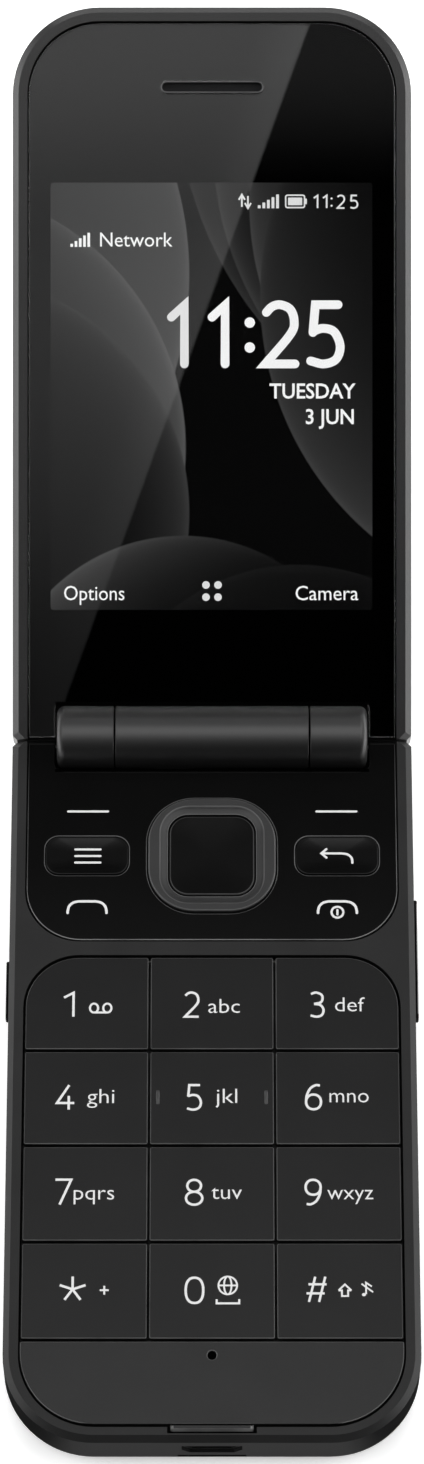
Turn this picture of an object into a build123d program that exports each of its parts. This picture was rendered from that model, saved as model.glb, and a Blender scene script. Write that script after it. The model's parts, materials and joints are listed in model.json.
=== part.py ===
from build123d import *
import math
import os

os.makedirs("parts", exist_ok=True)

# Flip phone, mm, +Z up, lying open on its back. The origin is the middle of the base's back face.
# Both halves are drawn in one "half frame": x across, y the distance from the hinge axis, and z the
# depth below the parting plane. BASE and LID carry that frame to its place.

# Outlines: the halves share a width, and the lid reaches a little further than the base
WIDTH = 55.0
BASE_REACH = 100.45
LID_REACH = 100.8
CORNER = 12.0
RIM = 0.25
BEVEL = 0.83
END_BEVEL = 0.6
BASE_DEPTH = 10.0
LID_DEPTH = 8.7
BASE_BACK_ROUND = 3.2
LID_BACK_ROUND = 3.6

# Hinge
OPEN_ANGLE = 155.5
BARREL = 4.35
COVE = 4.65
CENTRE_END = 13.25
KNUCKLE_START = 13.5
KNUCKLE_END = 21.3
END_TURN = 1.1
SIDE_GAP = 0.35
BASE_SPLIT = 0.5
LID_SPLIT = -0.1
LEAN = math.tan(math.radians((180 - OPEN_ANGLE) / 2))
BORE = 2.75
SHAFT = 1.5
SLEEVE = 1.8
FIT = 0.05

# Depths of the layers in the base
SEAM = 6.4
PANEL_TOP, PANEL_BOTTOM = 0.45, 1.05
KEY_TOP, KEY_BOTTOM = 0.5, 1.6
WEB_TOP, WEB_BOTTOM = 2.4, 2.6
DOME_BOTTOM = 2.8
BOARD_BOTTOM = 3.6
TRAY_TOP, TRAY_BOTTOM = 3.8, 4.2
COVER_INSIDE = 8.8

# Inside widths
RECESS_W = 50.9
LEDGE_W = 48.8
BAY_W = 49.8
BOARD_W = 48.6

# Function panel
PANEL_W = 50.7
PANEL_END = 30.1
PANEL_CORNER = 7.5
NAV_Y = 17.5
RING_W, RING_H, RING_CORNER = 17.7, 17.0, 5.6
HOLE_W, HOLE_H, HOLE_CORNER = 11.8, 12.0, 2.8
SLOPE_W, SLOPE_DROP = 1.1, 0.4
RING_RISE = -0.05
FLANGE_TOP, FLANGE_BOTTOM = 1.45, 1.65
PILL_X, PILL_W, PILL_H, PILL_CORNER = 17.07, 11.7, 6.0, 1.6

# Keypad
KEYPAD_START = 32.3
COLUMN = 16.86
ROW = 13.56
GROOVE = 0.24
KEYPAD_END = KEYPAD_START + 4 * ROW
CHIN_END = 98.25
CHIN_CORNER = 10.0
KEY_NAMES = ("1", "2", "3", "4", "5", "6", "7", "8", "9", "star", "0", "hash")

# Side keys
SIDE_Z = 4.25
VOLUME_Y, VOLUME_L = 31.5, 17.6
SOS_Y, SOS_L = 36.0, 8.55
SIDE_KEY_H = 2.1
SWITCH_YS = (VOLUME_Y - 5.1, VOLUME_Y + 5.1)

# Sockets
USB_TOP_W, USB_BOTTOM_W = 7.7, 5.6
USB_TOP, USB_BOTTOM = 2.67, 5.17
JACK_Y, JACK_Z, JACK_BORE = 15.0, 5.82, 1.8

# Screws
SCREW_SPOTS = ((21.5, 31.2), (21.2, 93.2))
LID_SCREW_SPOTS = ((22.9, 9.0), (20.6, 93.0))

# Depths and sizes in the lid
GLASS_TOP, GLASS_BOTTOM = 0.45, 1.45
CHASSIS_TOP, CHASSIS_BOTTOM = 3.4, 3.9
LID_SEAM = 4.4
LID_INSIDE = 7.4
GLASS_W = 50.6
GLASS_END = 98.62
DISPLAY_W, DISPLAY_START, DISPLAY_END = 46.8, 13.6, 79.0
SLOT_W, SLOT_H, SLOT_Y = 14.2, 1.65, 89.75
WINDOW_Y, WINDOW = 56.0, 32.0
CAMERA_X, CAMERA_Y, CAMERA_R = 5.0, 84.0, 3.4
FLASH_R = 1.6

AXIS_Y = LID_REACH / 2
AXIS_Z = BASE_DEPTH
BASE = Pos(0, AXIS_Y, AXIS_Z) * Rot(180, 0, 0)
LID = Pos(0, AXIS_Y, AXIS_Z) * Rot(180 - OPEN_ANGLE, 0, 0) * Rot(0, 180, 0)


def plate(width, near, far, top, bottom, near_round=0, far_round=0, x=0):
    """A flat slab between two distances and two depths, with optional rounded corners."""
    face = Rectangle(width, far - near)
    if near_round:
        face = fillet(face.vertices().group_by(Axis.Y)[0], near_round)
    if far_round:
        face = fillet(face.vertices().group_by(Axis.Y)[-1], far_round)
    return Pos(x, (near + far) / 2, top) * extrude(face, bottom - top)


def rounded(width, height, corner, top, bottom, x=0, y=0):
    """A rectangle with four rounded corners, carried from one depth to another."""
    return Pos(x, y, top) * extrude(RectangleRounded(width, height, corner), bottom - top)


def pill(width, height, top, bottom, x=0, y=0):
    """A slab with half-round ends."""
    return Pos(x, y, top) * extrude(SlotOverall(width, height), bottom - top)


def block(width, height, top, bottom, x=0, y=0):
    """A plain slab about a point."""
    return Pos(x, y, (top + bottom) / 2) * Box(width, height, bottom - top)


def disc(radius, top, bottom, x=0, y=0):
    """An upright cylinder between two depths."""
    return Pos(x, y, top) * extrude(Circle(radius), bottom - top)


def pilot(radius, top, bottom, x=0, y=0, sides=8):
    """A many-sided screw shaft or head, or the hole for one."""
    return Pos(x, y, top) * extrude(RegularPolygon(radius, sides), bottom - top)


def roller(radius, start, end, y=0, z=0):
    """A cylinder lying along x."""
    return Pos(start, y, z) * Rot(0, 90, 0) * extrude(Circle(radius), end - start)


def both_sides(shape):
    """The shape and its mirror image across the middle plane."""
    return shape + mirror(shape, Plane.YZ)


def envelope(depth, back_radius, split, reach):
    """The outer form of one half: rounded free end, leaning hinge end, bevelled front edge."""
    body = plate(WIDTH, -8, reach, RIM, depth, far_round=CORNER)
    low = split - (depth + 1) * LEAN
    outline = Polyline((split + LEAN, -1), (low, depth + 1), (-12, depth + 1), (-12, -1), close=True)
    body -= extrude(Plane.YZ * make_face(outline), amount=WIDTH, both=True)
    back = body.edges().group_by(Axis.Z)[-1].sort_by(Axis.Y)
    body = fillet(back[1:], back_radius)
    end = body.faces().sort_by(Axis.Y)[0]
    body = chamfer(end.edges().sort_by(Axis.Z)[1:], END_BEVEL)
    rim = body.edges().group_by(Axis.Z)[0].sort_by(Axis.Y)
    return chamfer(rim[1:], BEVEL)


def slice_between(body, top, bottom):
    """The part of a body between two depths."""
    return body & Pos(0, LID_REACH / 2, (top + bottom) / 2) * Box(80, 140, bottom - top)


def barrel_cutout(top, bottom):
    """The opening in a front panel that leaves the hinge barrel free."""
    return plate(2 * (KNUCKLE_END + SIDE_GAP), -9, COVE + 0.05, top, bottom, far_round=1.0)


def end_coves():
    """The room in the base for the two end knuckles."""
    return both_sides(roller(COVE, CENTRE_END, KNUCKLE_END + SIDE_GAP))


def usb_profile(grow):
    """The outline of the micro-USB mouth, wide at the front side."""
    top, bottom = USB_TOP - grow, USB_BOTTOM + grow
    wide, slim = USB_TOP_W / 2 + grow, USB_BOTTOM_W / 2 + grow
    knee = top + 0.55 * (bottom - top)
    points = [(-wide, top), (wide, top), (wide, knee), (slim, bottom), (-slim, bottom), (-wide, knee)]
    return make_face(Polyline(*points, close=True))


def usb_bar(grow, near, far):
    """The USB outline carried along the phone."""
    plane = Plane(origin=(0, near, 0), x_dir=(1, 0, 0), z_dir=(0, 1, 0))
    face = mirror(usb_profile(grow), Plane.XZ)
    return extrude(plane * face, far - near)


def spots(pairs):
    """Every listed place on both sides of the middle plane."""
    return [(side * x, y) for x, y in pairs for side in (-1, 1)]


def front_frame():
    """The frame of the base: outer wall, cross bar, centre barrel and ledges."""
    body = slice_between(envelope(BASE_DEPTH, BASE_BACK_ROUND, BASE_SPLIT, BASE_REACH), 0, SEAM)
    body -= plate(RECESS_W, -9, PANEL_END + 0.1, 0, PANEL_BOTTOM, far_round=PANEL_CORNER)
    body -= plate(RECESS_W, KEYPAD_START - 0.1, KEYPAD_END, 0, WEB_BOTTOM, near_round=PANEL_CORNER)
    body -= plate(RECESS_W, KEYPAD_END - 0.1, CHIN_END + 0.3, 0, KEY_BOTTOM, far_round=CHIN_CORNER)
    body -= plate(11.7, CHIN_END - 1, CHIN_END + 1.15, 0, KEY_BOTTOM)
    body -= plate(LEDGE_W, 5.8, 29.9, PANEL_BOTTOM, SEAM)
    body -= plate(LEDGE_W, 29.8, 32.6, 2.2, SEAM)
    body -= plate(LEDGE_W, 32.5, 97.0, WEB_BOTTOM, SEAM, far_round=8.6)
    body -= plate(LEDGE_W, KEYPAD_END - 0.2, 97.0, KEY_BOTTOM, SEAM, far_round=8.6)
    body -= plate(BAY_W, 5.8, 97.6, BOARD_BOTTOM, SEAM, far_round=9.2)
    body -= end_coves()
    body += roller(BARREL, -CENTRE_END, CENTRE_END)
    body -= roller(BORE, -CENTRE_END, CENTRE_END)
    body -= plate(6, 1.5, 6.0, 0.9, 2.4, x=-5.5)
    for x, y in spots(SCREW_SPOTS):
        post = pilot(1.1, KEY_BOTTOM, DOME_BOTTOM, x, y)
        if y > KEYPAD_END:
            post += plate(4.5, y - 1.1, y + 1.1, KEY_BOTTOM, DOME_BOTTOM, x=math.copysign(abs(x) + 1.6, x))
        body += post
        body -= pilot(0.6, 1.8, DOME_BOTTOM, x, y)
    for side, y, length in ((1, VOLUME_Y, VOLUME_L), (-1, SOS_Y, SOS_L)):
        body -= Pos(side * 26.5, y, SIDE_Z) * Box(6, length + 0.2, SIDE_KEY_H + 0.2)
        body -= Pos(side * 24.6, y, SIDE_Z) * Box(2.0, length + 1.6, 2.9)
    body -= usb_bar(0.12, 94, BASE_REACH + 1)
    body -= roller(2.35, -WIDTH / 2 - 1, -LEDGE_W / 2 + 1.4, JACK_Y, JACK_Z)
    return body


def rear_housing():
    """The tray behind the main board with the battery bay."""
    body = plate(BAY_W - 0.2, 6.2, 97.4, TRAY_TOP, TRAY_BOTTOM, far_round=9.1)
    rib = plate(BOARD_W, 6.6, 96.6, BOARD_BOTTOM, TRAY_TOP, far_round=8.2)
    body += rib - plate(BOARD_W - 2.4, 7.8, 95.4, 0, 9, far_round=7.0)
    bay = plate(41.0, 37.6, 91.4, TRAY_BOTTOM, 8.0)
    bay -= plate(39.2, 38.4, 90.6, TRAY_BOTTOM, 9)
    bay -= Pos(0, 38, 6.5) * Box(12.4, 3, 6)
    body += bay
    for side in (-1, 1):
        body -= Pos(side * 24.9, VOLUME_Y, TRAY_BOTTOM) * Box(1.2, 23, 2)
    for side, y in ((1, SWITCH_YS[0]), (1, SWITCH_YS[1]), (-1, SOS_Y)):
        body -= Pos(side * 23.4, y, TRAY_BOTTOM) * Box(4.0, 4.4, 2)
    body -= plate(15.6, JACK_Y - 3.2, JACK_Y + 3.2, 3, 5, x=-20)
    body -= plate(9.0, 94.2, 100, 3, 6)
    for x, y in spots(SCREW_SPOTS):
        body += pilot(1.5, BOARD_BOTTOM, TRAY_BOTTOM, x, y)
        body -= pilot(0.6, 3, 5, x, y)
    return body


def rear_cover():
    """The battery cover: a shallow shell with an inner lip, sound slots and a pry notch."""
    body = slice_between(envelope(BASE_DEPTH, BASE_BACK_ROUND, BASE_SPLIT, BASE_REACH), SEAM, BASE_DEPTH)
    room = plate(BAY_W - 1.8, 7.2, 96.6, SEAM - 1, COVER_INSIDE, far_round=8.4)
    body -= chamfer(room.edges().group_by(Axis.Z)[-1], 1.6)
    lip = plate(BAY_W - 0.2, 6.4, 97.4, SEAM - 0.7, SEAM, far_round=9.1)
    lip -= plate(BAY_W - 1.8, 7.2, 96.6, 0, 9, far_round=8.4)
    body += lip - roller(2.6, -30, 0, JACK_Y, JACK_Z)
    body -= roller(2.35, -WIDTH / 2 - 1, -LEDGE_W / 2 + 1.4, JACK_Y, JACK_Z)
    for k in range(5):
        body -= block(9.0, 0.9, COVER_INSIDE - 1, BASE_DEPTH + 1, 9, 15.8 + 1.8 * k)
    body -= Pos(0, BASE_REACH + 0.3, SEAM) * Box(9, 3.0, 1.6)
    return body


def battery():
    """The removable pack with its label step."""
    body = rounded(39.0, 52.0, 1.2, TRAY_BOTTOM, 8.6, y=64.5)
    return chamfer(body.edges().group_by(Axis.Z)[-1], 0.3)


def battery_contacts():
    """The connector block with three sprung blades that reach the pack."""
    body = plate(12.0, 35.0, 38.0, TRAY_BOTTOM, 7.6)
    for k in (-1, 0, 1):
        body += plate(1.6, 38.0, 38.5, 5.0, 7.0, x=3.4 * k)
    return body


def main_board():
    """The circuit board with its notch for the USB socket."""
    body = plate(BOARD_W, 6.4, 96.6, DOME_BOTTOM, BOARD_BOTTOM, far_round=8.2)
    body -= plate(8.4, 94.4, 100, 2, 4)
    for x, y in spots(SCREW_SPOTS):
        body -= pilot(0.6, 2, 4, x, y)
    return body


def key_centres():
    """The twelve places of the number keys, row by row."""
    rows = range(4)
    return [((c - 1) * COLUMN, KEYPAD_START + (r + 0.5) * ROW) for r in rows for c in range(3)]


def dome(radius, height, x, y):
    """An eight-sided snap dome, or the room for one, standing on the sheet's face."""
    return Pos(x, y, WEB_BOTTOM - height) * extrude(RegularPolygon(radius, 8), height)


def dome_sheet():
    """The sheet of snap domes on the board."""
    body = plate(BOARD_W, 9.0, 86.2, WEB_BOTTOM, DOME_BOTTOM)
    for x, y in key_centres() + [(0, NAV_Y), (-PILL_X, NAV_Y), (PILL_X, NAV_Y)]:
        body += dome(2.0, 0.12, x, y)
    for x, y in spots(SCREW_SPOTS[:1]):
        body -= pilot(1.4, 2, 3, x, y)
    return body


def keypad_mat():
    """The silicone mat with a boss under each number key."""
    room = plate(50.6, KEYPAD_START + 0.1, 86.3, KEY_BOTTOM, WEB_BOTTOM, near_round=PANEL_CORNER)
    body = slice_between(room, WEB_TOP, WEB_BOTTOM)
    for x, y in key_centres():
        body += block(13.6, 11.0, KEY_BOTTOM, WEB_TOP, x, y) & room
        body -= dome(2.2, 0.15, x, y)
    return body


def panel_mat():
    """The silicone sheet under the function panel, with bosses for its three loose keys."""
    body = plate(BOARD_W, 9.0, 29.4, WEB_TOP, WEB_BOTTOM)
    for side in (-1, 1):
        body += block(8.4, 3.6, KEY_BOTTOM, WEB_TOP, side * PILL_X, NAV_Y)
        body -= dome(2.2, 0.15, side * PILL_X, NAV_Y)
    body += disc(2.4, 2.0, WEB_TOP, 0, NAV_Y)
    return body - dome(2.2, 0.15, 0, NAV_Y)


def function_panel():
    """The glossy sheet over the upper keys, open for the navigation key and the keys beside it."""
    body = plate(PANEL_W, BASE_SPLIT + 0.15, PANEL_END, PANEL_TOP, PANEL_BOTTOM, far_round=PANEL_CORNER)
    body -= barrel_cutout(0, 2)
    body -= rounded(RING_W + 0.36, RING_H + 0.36, RING_CORNER + 0.18, 0, 2, 0, NAV_Y)
    for side in (-1, 1):
        body -= rounded(PILL_W, PILL_H, PILL_CORNER, 0, 2, side * PILL_X, NAV_Y)
    return body


def nav_ring():
    """The four-way ring: a collar on a flange held under the panel, sloping down to its opening."""
    body = rounded(RING_W, RING_H, RING_CORNER, RING_RISE, FLANGE_BOTTOM, 0, NAV_Y)
    body = chamfer(body.edges().group_by(Axis.Z)[0], 0.35)
    body += rounded(RING_W + 1.2, RING_H + 1.2, RING_CORNER + 0.6, FLANGE_TOP, FLANGE_BOTTOM, 0, NAV_Y)
    body -= rounded(HOLE_W, HOLE_H, HOLE_CORNER, -2, 3, 0, NAV_Y)
    grow = 2 * SLOPE_W
    wide = Pos(0, NAV_Y, RING_RISE) * RectangleRounded(HOLE_W + grow, HOLE_H + grow, HOLE_CORNER + SLOPE_W)
    slim = Pos(0, NAV_Y, RING_RISE + SLOPE_DROP) * RectangleRounded(HOLE_W, HOLE_H, HOLE_CORNER)
    return body - loft([wide, slim], ruled=True)


def nav_spacer():
    """The rocker plate under the ring, with two crossed pairs of rounded ridges."""
    body = rounded(15.0, 15.0, 3.0, 1.95, 2.1, 0, NAV_Y)
    body -= rounded(12.2, 12.2, 2.2, 1, 3, 0, NAV_Y)
    across = roller(0.3, 6.2, 7.4, NAV_Y, 2.1)
    along = Pos(0, NAV_Y + 6.2, 1.95) * Rot(-90, 0, 0) * extrude(Circle(0.3), 1.2)
    below = Pos(0, NAV_Y, 2.6) * Box(30, 30, 1.0)
    above = Pos(0, NAV_Y, 1.45) * Box(30, 30, 1.0)
    body += both_sides(across & below)
    up = along & above
    return body + up + mirror(up, Plane.XZ.offset(-NAV_Y))


def select_key():
    """The middle key, a cap on a short stem."""
    body = rounded(HOLE_W - 0.4, HOLE_H - 0.4, HOLE_CORNER - 0.2, 0.22, 1.5, 0, NAV_Y)
    body = chamfer(body.edges().group_by(Axis.Z)[0], 0.15)
    return body + disc(1.6, 1.5, 2.0, 0, NAV_Y)


def pill_key(side):
    """One of the two flat keys beside the ring."""
    body = rounded(PILL_W - 0.3, PILL_H - 0.3, PILL_CORNER - 0.15, 0.35, KEY_BOTTOM, side * PILL_X, NAV_Y)
    return chamfer(body.edges().group_by(Axis.Z)[0], 0.12)


def number_key(index):
    """A keycap. The two upper outer caps follow the rounded corner of the keypad."""
    x, y = key_centres()[index]
    face = Rectangle(COLUMN - GROOVE, ROW - GROOVE)
    corners = face.vertices().group_by(Axis.Y)[0].sort_by(Axis.X)
    if index in (0, 2):
        outer = corners[0] if index == 0 else corners[-1]
        face = fillet(outer, PANEL_CORNER - 0.1)
    body = Pos(x, y, KEY_TOP) * extrude(face, KEY_BOTTOM - KEY_TOP)
    body = chamfer(body.edges().group_by(Axis.Z)[0], 0.1)
    if KEY_NAMES[index] == "5":
        for side in (-1, 1):
            body += rounded(0.5, 2.1, 0.2, KEY_TOP - 0.15, KEY_TOP + 0.3, side * 7.25, y)
    return body


def chin_panel():
    """The plate below the keypad with the microphone hole and a tongue in the rim."""
    near = KEYPAD_END + GROOVE / 2
    body = plate(PANEL_W - 0.1, near, CHIN_END, PANEL_TOP, KEY_BOTTOM, far_round=CHIN_CORNER - 0.1)
    body = chamfer(body.edges().group_by(Axis.Z)[0], 0.08)
    tongue = plate(11.3, CHIN_END - 0.4, CHIN_END + 1.0, PANEL_TOP, KEY_BOTTOM)
    edge = tongue.edges().group_by(Axis.Z)[0].sort_by(Axis.Y)[-1]
    body += chamfer(edge, 0.35)
    return body - disc(0.6, 0, 2, 0, 88.7)


def volume_rocker():
    """The long side key: a bar, a flange behind the wall, a pivot nub and two plungers."""
    body = Pos(26.585, VOLUME_Y, SIDE_Z) * Box(2.83, VOLUME_L, SIDE_KEY_H)
    body = fillet(body.edges().filter_by(Axis.X).group_by(Axis.X)[-1], 0.8)
    tip = body.faces().sort_by(Axis.X)[-1]
    body = chamfer(tip.edges(), 0.2)
    body += Pos(25.1, VOLUME_Y, SIDE_Z) * Box(0.4, VOLUME_L + 1.2, 2.5)
    body += Pos(25.3, VOLUME_Y, SIDE_Z) * Cylinder(0.3, 2.5)
    for y in SWITCH_YS:
        body += Pos(24.45, y, SIDE_Z) * Box(1.0, 1.8, 1.0)
    return body


def sos_key():
    """The short side key, which slides straight in."""
    body = Pos(-26.6, SOS_Y, SIDE_Z) * Box(2.7, SOS_L, SIDE_KEY_H)
    body = fillet(body.edges().filter_by(Axis.X), 0.8)
    tip = body.faces().sort_by(Axis.X)[0]
    body = chamfer(tip.edges(), 0.2)
    body += Pos(-25.3, SOS_Y, SIDE_Z) * Box(0.6, SOS_L + 1.2, 2.5)
    return body + Pos(-24.5, SOS_Y, SIDE_Z) * Box(1.1, 1.8, 1.0)


def side_switches():
    """The three tact switches under the edge of the board."""
    body = Pos(22.6, SWITCH_YS[0], 4.25) * Box(2.0, 3.4, 1.3)
    body += Pos(22.6, SWITCH_YS[1], 4.25) * Box(2.0, 3.4, 1.3)
    return body + Pos(-22.6, SOS_Y, 4.25) * Box(2.0, 3.4, 1.3)


def usb_socket():
    """The micro-USB shell with its tongue."""
    body = usb_bar(0, 94.6, 100.0) - usb_bar(-0.25, 95.2, 101)
    body += plate(4.6, 95.0, 98.8, 3.05, 3.65)
    return body + plate(6.0, 94.6, 96.0, USB_BOTTOM - 0.1, 5.6)


def headphone_jack():
    """The 3.5 mm socket: a block with a round nose in the side wall."""
    body = plate(10.7, JACK_Y - 3, JACK_Y + 3, BOARD_BOTTOM, 7.9, x=-17.8)
    body += roller(2.2, -26.5, -23.1, JACK_Y, JACK_Z)
    return body - roller(JACK_BORE, -27, -13.2, JACK_Y, JACK_Z)


def loudspeaker():
    """The speaker box over the slots of the cover."""
    body = block(18.0, 13.0, TRAY_BOTTOM, 8.2, 9, 19.4)
    return body + block(11.0, 9.6, 8.2, 8.6, 9, 19.4)


def hinge_module():
    """The spring capsule in the centre barrel with its shaft in the right knuckle."""
    body = roller(BORE, 1.0, CENTRE_END)
    return body + roller(SHAFT, CENTRE_END, 19.4)


def hinge_pin():
    """The hollow bushing on the left, which lets the cable through."""
    body = roller(BORE, -CENTRE_END, -9.5) + roller(SLEEVE, -19.6, -CENTRE_END)
    return body - roller(1.3, -20, -9)


def hinge_flex():
    """The rolled cable through the hinge and its tail down to the board."""
    body = roller(1.3, -19.6, -3.0)
    body += plate(5.0, 0.0, 7.9, 1.1, 1.3, x=-5.5)
    return body + plate(5.0, 6.6, 7.9, 1.1, DOME_BOTTOM, x=-5.5)


def screw(shaft_top, shaft_bottom, head_top, head_bottom, x, y):
    """One screw: an eight-sided shaft and a sixteen-sided head."""
    return pilot(0.6, shaft_top, shaft_bottom, x, y) + pilot(1.3, head_top, head_bottom, x, y, 16)


def base_screws():
    """Four screws through tray and board into the posts of the frame."""
    return Compound([screw(2.0, TRAY_BOTTOM, TRAY_BOTTOM, 4.9, x, y) for x, y in spots(SCREW_SPOTS)])


def knuckle():
    """One end knuckle, its free end rounded in three turned steps."""
    turns = [math.radians(30 * k) for k in range(4)]
    start_x, start_r = KNUCKLE_END - END_TURN, BARREL - END_TURN
    ends = [(start_x + END_TURN * math.cos(t), start_r + END_TURN * math.sin(t)) for t in turns]
    outline = [(KNUCKLE_START, 0), (KNUCKLE_END, 0), *ends, (KNUCKLE_START, BARREL)]
    return revolve(make_face(Polyline(*outline, close=True)), Axis.X)


def lid_frame():
    """The frame of the lid: outer wall, display bay, chassis floor and two end knuckles."""
    body = slice_between(envelope(LID_DEPTH, LID_BACK_ROUND, LID_SPLIT, LID_REACH), 0, LID_SEAM)
    body -= plate(RECESS_W, -9, GLASS_END + 0.2, 0, GLASS_BOTTOM, far_round=CHIN_CORNER)
    body -= plate(DISPLAY_W + 0.2, DISPLAY_START - 0.1, DISPLAY_END + 0.1, 0, CHASSIS_TOP)
    body -= plate(17.2, SLOT_Y - 3.6, SLOT_Y + 3.6, 0, CHASSIS_TOP)
    body -= plate(46.0, 8.0, 91.0, CHASSIS_BOTTOM, LID_SEAM)
    body -= roller(COVE, -KNUCKLE_START, KNUCKLE_START)
    body += both_sides(knuckle())
    body -= roller(SLEEVE + FIT, KNUCKLE_START, 19.8)
    body -= roller(SHAFT + FIT, -19.8, -KNUCKLE_START)
    body -= magnet()
    for x, y in spots(LID_SCREW_SPOTS):
        body -= pilot(0.6, 0, 5, x, y) + pilot(1.3, 0, 2.1, x, y, 16)
    return body


def magnet():
    """The bar magnet that tells the phone it is shut."""
    return block(8.0, 1.9, GLASS_BOTTOM, 2.4, 19.0, 84.0)


def lid_cover():
    """The outer shell of the lid with bosses and openings for window, camera and flash."""
    body = slice_between(envelope(LID_DEPTH, LID_BACK_ROUND, LID_SPLIT, LID_REACH), LID_SEAM, LID_DEPTH)
    room = plate(46.0, 8.0, 91.0, LID_SEAM - 2.5, LID_INSIDE, far_round=5.0)
    body -= chamfer(room.edges().group_by(Axis.Z)[-1], 0.8)
    body -= roller(COVE, -KNUCKLE_START, KNUCKLE_START)
    body -= rounded(WINDOW, WINDOW, 5.0, 7.8, 9, 0, WINDOW_Y)
    body -= block(25.0, 25.0, 7, 9, 0, WINDOW_Y)
    body -= disc(CAMERA_R, 7, 9, CAMERA_X, CAMERA_Y) + disc(FLASH_R, 7, 9, -CAMERA_X, CAMERA_Y)
    for x, y in spots(LID_SCREW_SPOTS):
        body += pilot(1.6, LID_SEAM, LID_INSIDE + 0.2, x, y)
        body -= pilot(0.6, 4, 6.0, x, y)
    return body


def lid_glass():
    """The front glass of the lid, cut out round the barrel and slotted for the earpiece."""
    body = plate(GLASS_W, LID_SPLIT + 0.15, GLASS_END, GLASS_TOP, GLASS_BOTTOM, far_round=CHIN_CORNER - 0.1)
    body -= barrel_cutout(0, 2)
    body -= pill(SLOT_W, SLOT_H, 0, 2, 0, SLOT_Y)
    return chamfer(body.edges().group_by(Axis.Z)[0], 0.1)


def outer_display():
    """The small square display module behind the outer window."""
    body = block(28.0, 29.0, 5.8, LID_INSIDE, 0, WINDOW_Y + 1)
    return body + block(24.9, 24.9, LID_INSIDE, 7.75, 0, WINDOW_Y)


def camera_module():
    """The camera: a square body on the board and a round lens barrel in the cover."""
    body = block(8.6, 8.6, 4.6, LID_INSIDE, CAMERA_X, CAMERA_Y)
    body += disc(CAMERA_R, LID_INSIDE, LID_DEPTH, CAMERA_X, CAMERA_Y)
    return body - disc(2.2, 8.3, 9, CAMERA_X, CAMERA_Y)


def flash_led():
    """The light beside the camera."""
    body = block(4.4, 4.4, 4.6, 6.8, -CAMERA_X, CAMERA_Y)
    return body + disc(FLASH_R, 6.8, LID_DEPTH - 0.05, -CAMERA_X, CAMERA_Y)


def lid_screws():
    """Four screws under the glass that hold the outer shell."""
    return Compound([screw(2.1, 5.9, GLASS_BOTTOM, 2.1, x, y) for x, y in spots(LID_SCREW_SPOTS)])


def save(node, shape, place):
    """Carries a shape from the half frame to its place and writes it."""
    export_step(place * shape, f"parts/{node}.step")


save("base_front_frame", front_frame(), BASE)
save("base_rear_housing", rear_housing(), BASE)
save("rear_cover", rear_cover(), BASE)
save("battery", battery(), BASE)
save("battery_contacts", battery_contacts(), BASE)
save("main_board", main_board(), BASE)
save("dome_sheet", dome_sheet(), BASE)
save("keypad_mat", keypad_mat(), BASE)
save("panel_mat", panel_mat(), BASE)
save("function_panel", function_panel(), BASE)
save("nav_ring", nav_ring(), BASE)
save("nav_spacer", nav_spacer(), BASE)
save("select_key", select_key(), BASE)
save("menu_key", pill_key(-1), BASE)
save("back_key", pill_key(1), BASE)
for number, name in enumerate(KEY_NAMES):
    save(f"key_{name}", number_key(number), BASE)
save("chin_panel", chin_panel(), BASE)
save("volume_rocker", volume_rocker(), BASE)
save("sos_key", sos_key(), BASE)
save("side_key_switches", side_switches(), BASE)
save("usb_socket", usb_socket(), BASE)
save("headphone_jack", headphone_jack(), BASE)
save("loudspeaker", loudspeaker(), BASE)
save("speaker_mesh", block(11.0, 9.6, 8.6, COVER_INSIDE, 9, 19.4), BASE)
save("vibration_motor", disc(4.0, TRAY_BOTTOM, 7.0, -15, 27), BASE)
save("sim_card_holder", block(13.4, 9.6, TRAY_BOTTOM, 5.6, 13.0, 32.0), BASE)
save("microphone", disc(2.0, KEY_BOTTOM, DOME_BOTTOM, 0, 88.7), BASE)
save("base_screws", base_screws(), BASE)
save("hinge_module", hinge_module(), BASE)
save("hinge_pin", hinge_pin(), BASE)
save("hinge_flex", hinge_flex(), BASE)

save("lid_frame", lid_frame(), LID)
save("lid_cover", lid_cover(), LID)
save("lid_glass", lid_glass(), LID)
save("main_display", plate(DISPLAY_W, DISPLAY_START, DISPLAY_END, GLASS_BOTTOM, CHASSIS_TOP), LID)
save("lid_board", plate(42.0, 12.0, 90.0, CHASSIS_BOTTOM, 4.6), LID)
save("outer_display", outer_display(), LID)
save("outer_window", rounded(WINDOW - 0.1, WINDOW - 0.1, 4.95, 7.8, LID_DEPTH, 0, WINDOW_Y), LID)
save("camera_module", camera_module(), LID)
save("flash_led", flash_led(), LID)
save("earpiece", block(17.0, 7.0, GLASS_BOTTOM, CHASSIS_TOP, 0, SLOT_Y), LID)
save("earpiece_mesh", pill(SLOT_W, SLOT_H, 1.2, GLASS_BOTTOM, 0, SLOT_Y), LID)
save("lid_magnet", magnet(), LID)
save("lid_screws", lid_screws(), LID)
save("lid_flex", plate(4.0, 8.0, 12.0, CHASSIS_BOTTOM, 4.1, x=16.0), LID)
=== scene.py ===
"""Dresses an open flip phone: finer surfaces for what shows, a finish for every piece, and a studio."""

import json
import logging
import math
from collections.abc import Iterable, Sequence
from dataclasses import dataclass, field, replace
from enum import Enum
from typing import ClassVar

import bmesh
import bpy
import numpy as np
from mathutils import Matrix, Vector
from mathutils.geometry import tessellate_polygon

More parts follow.
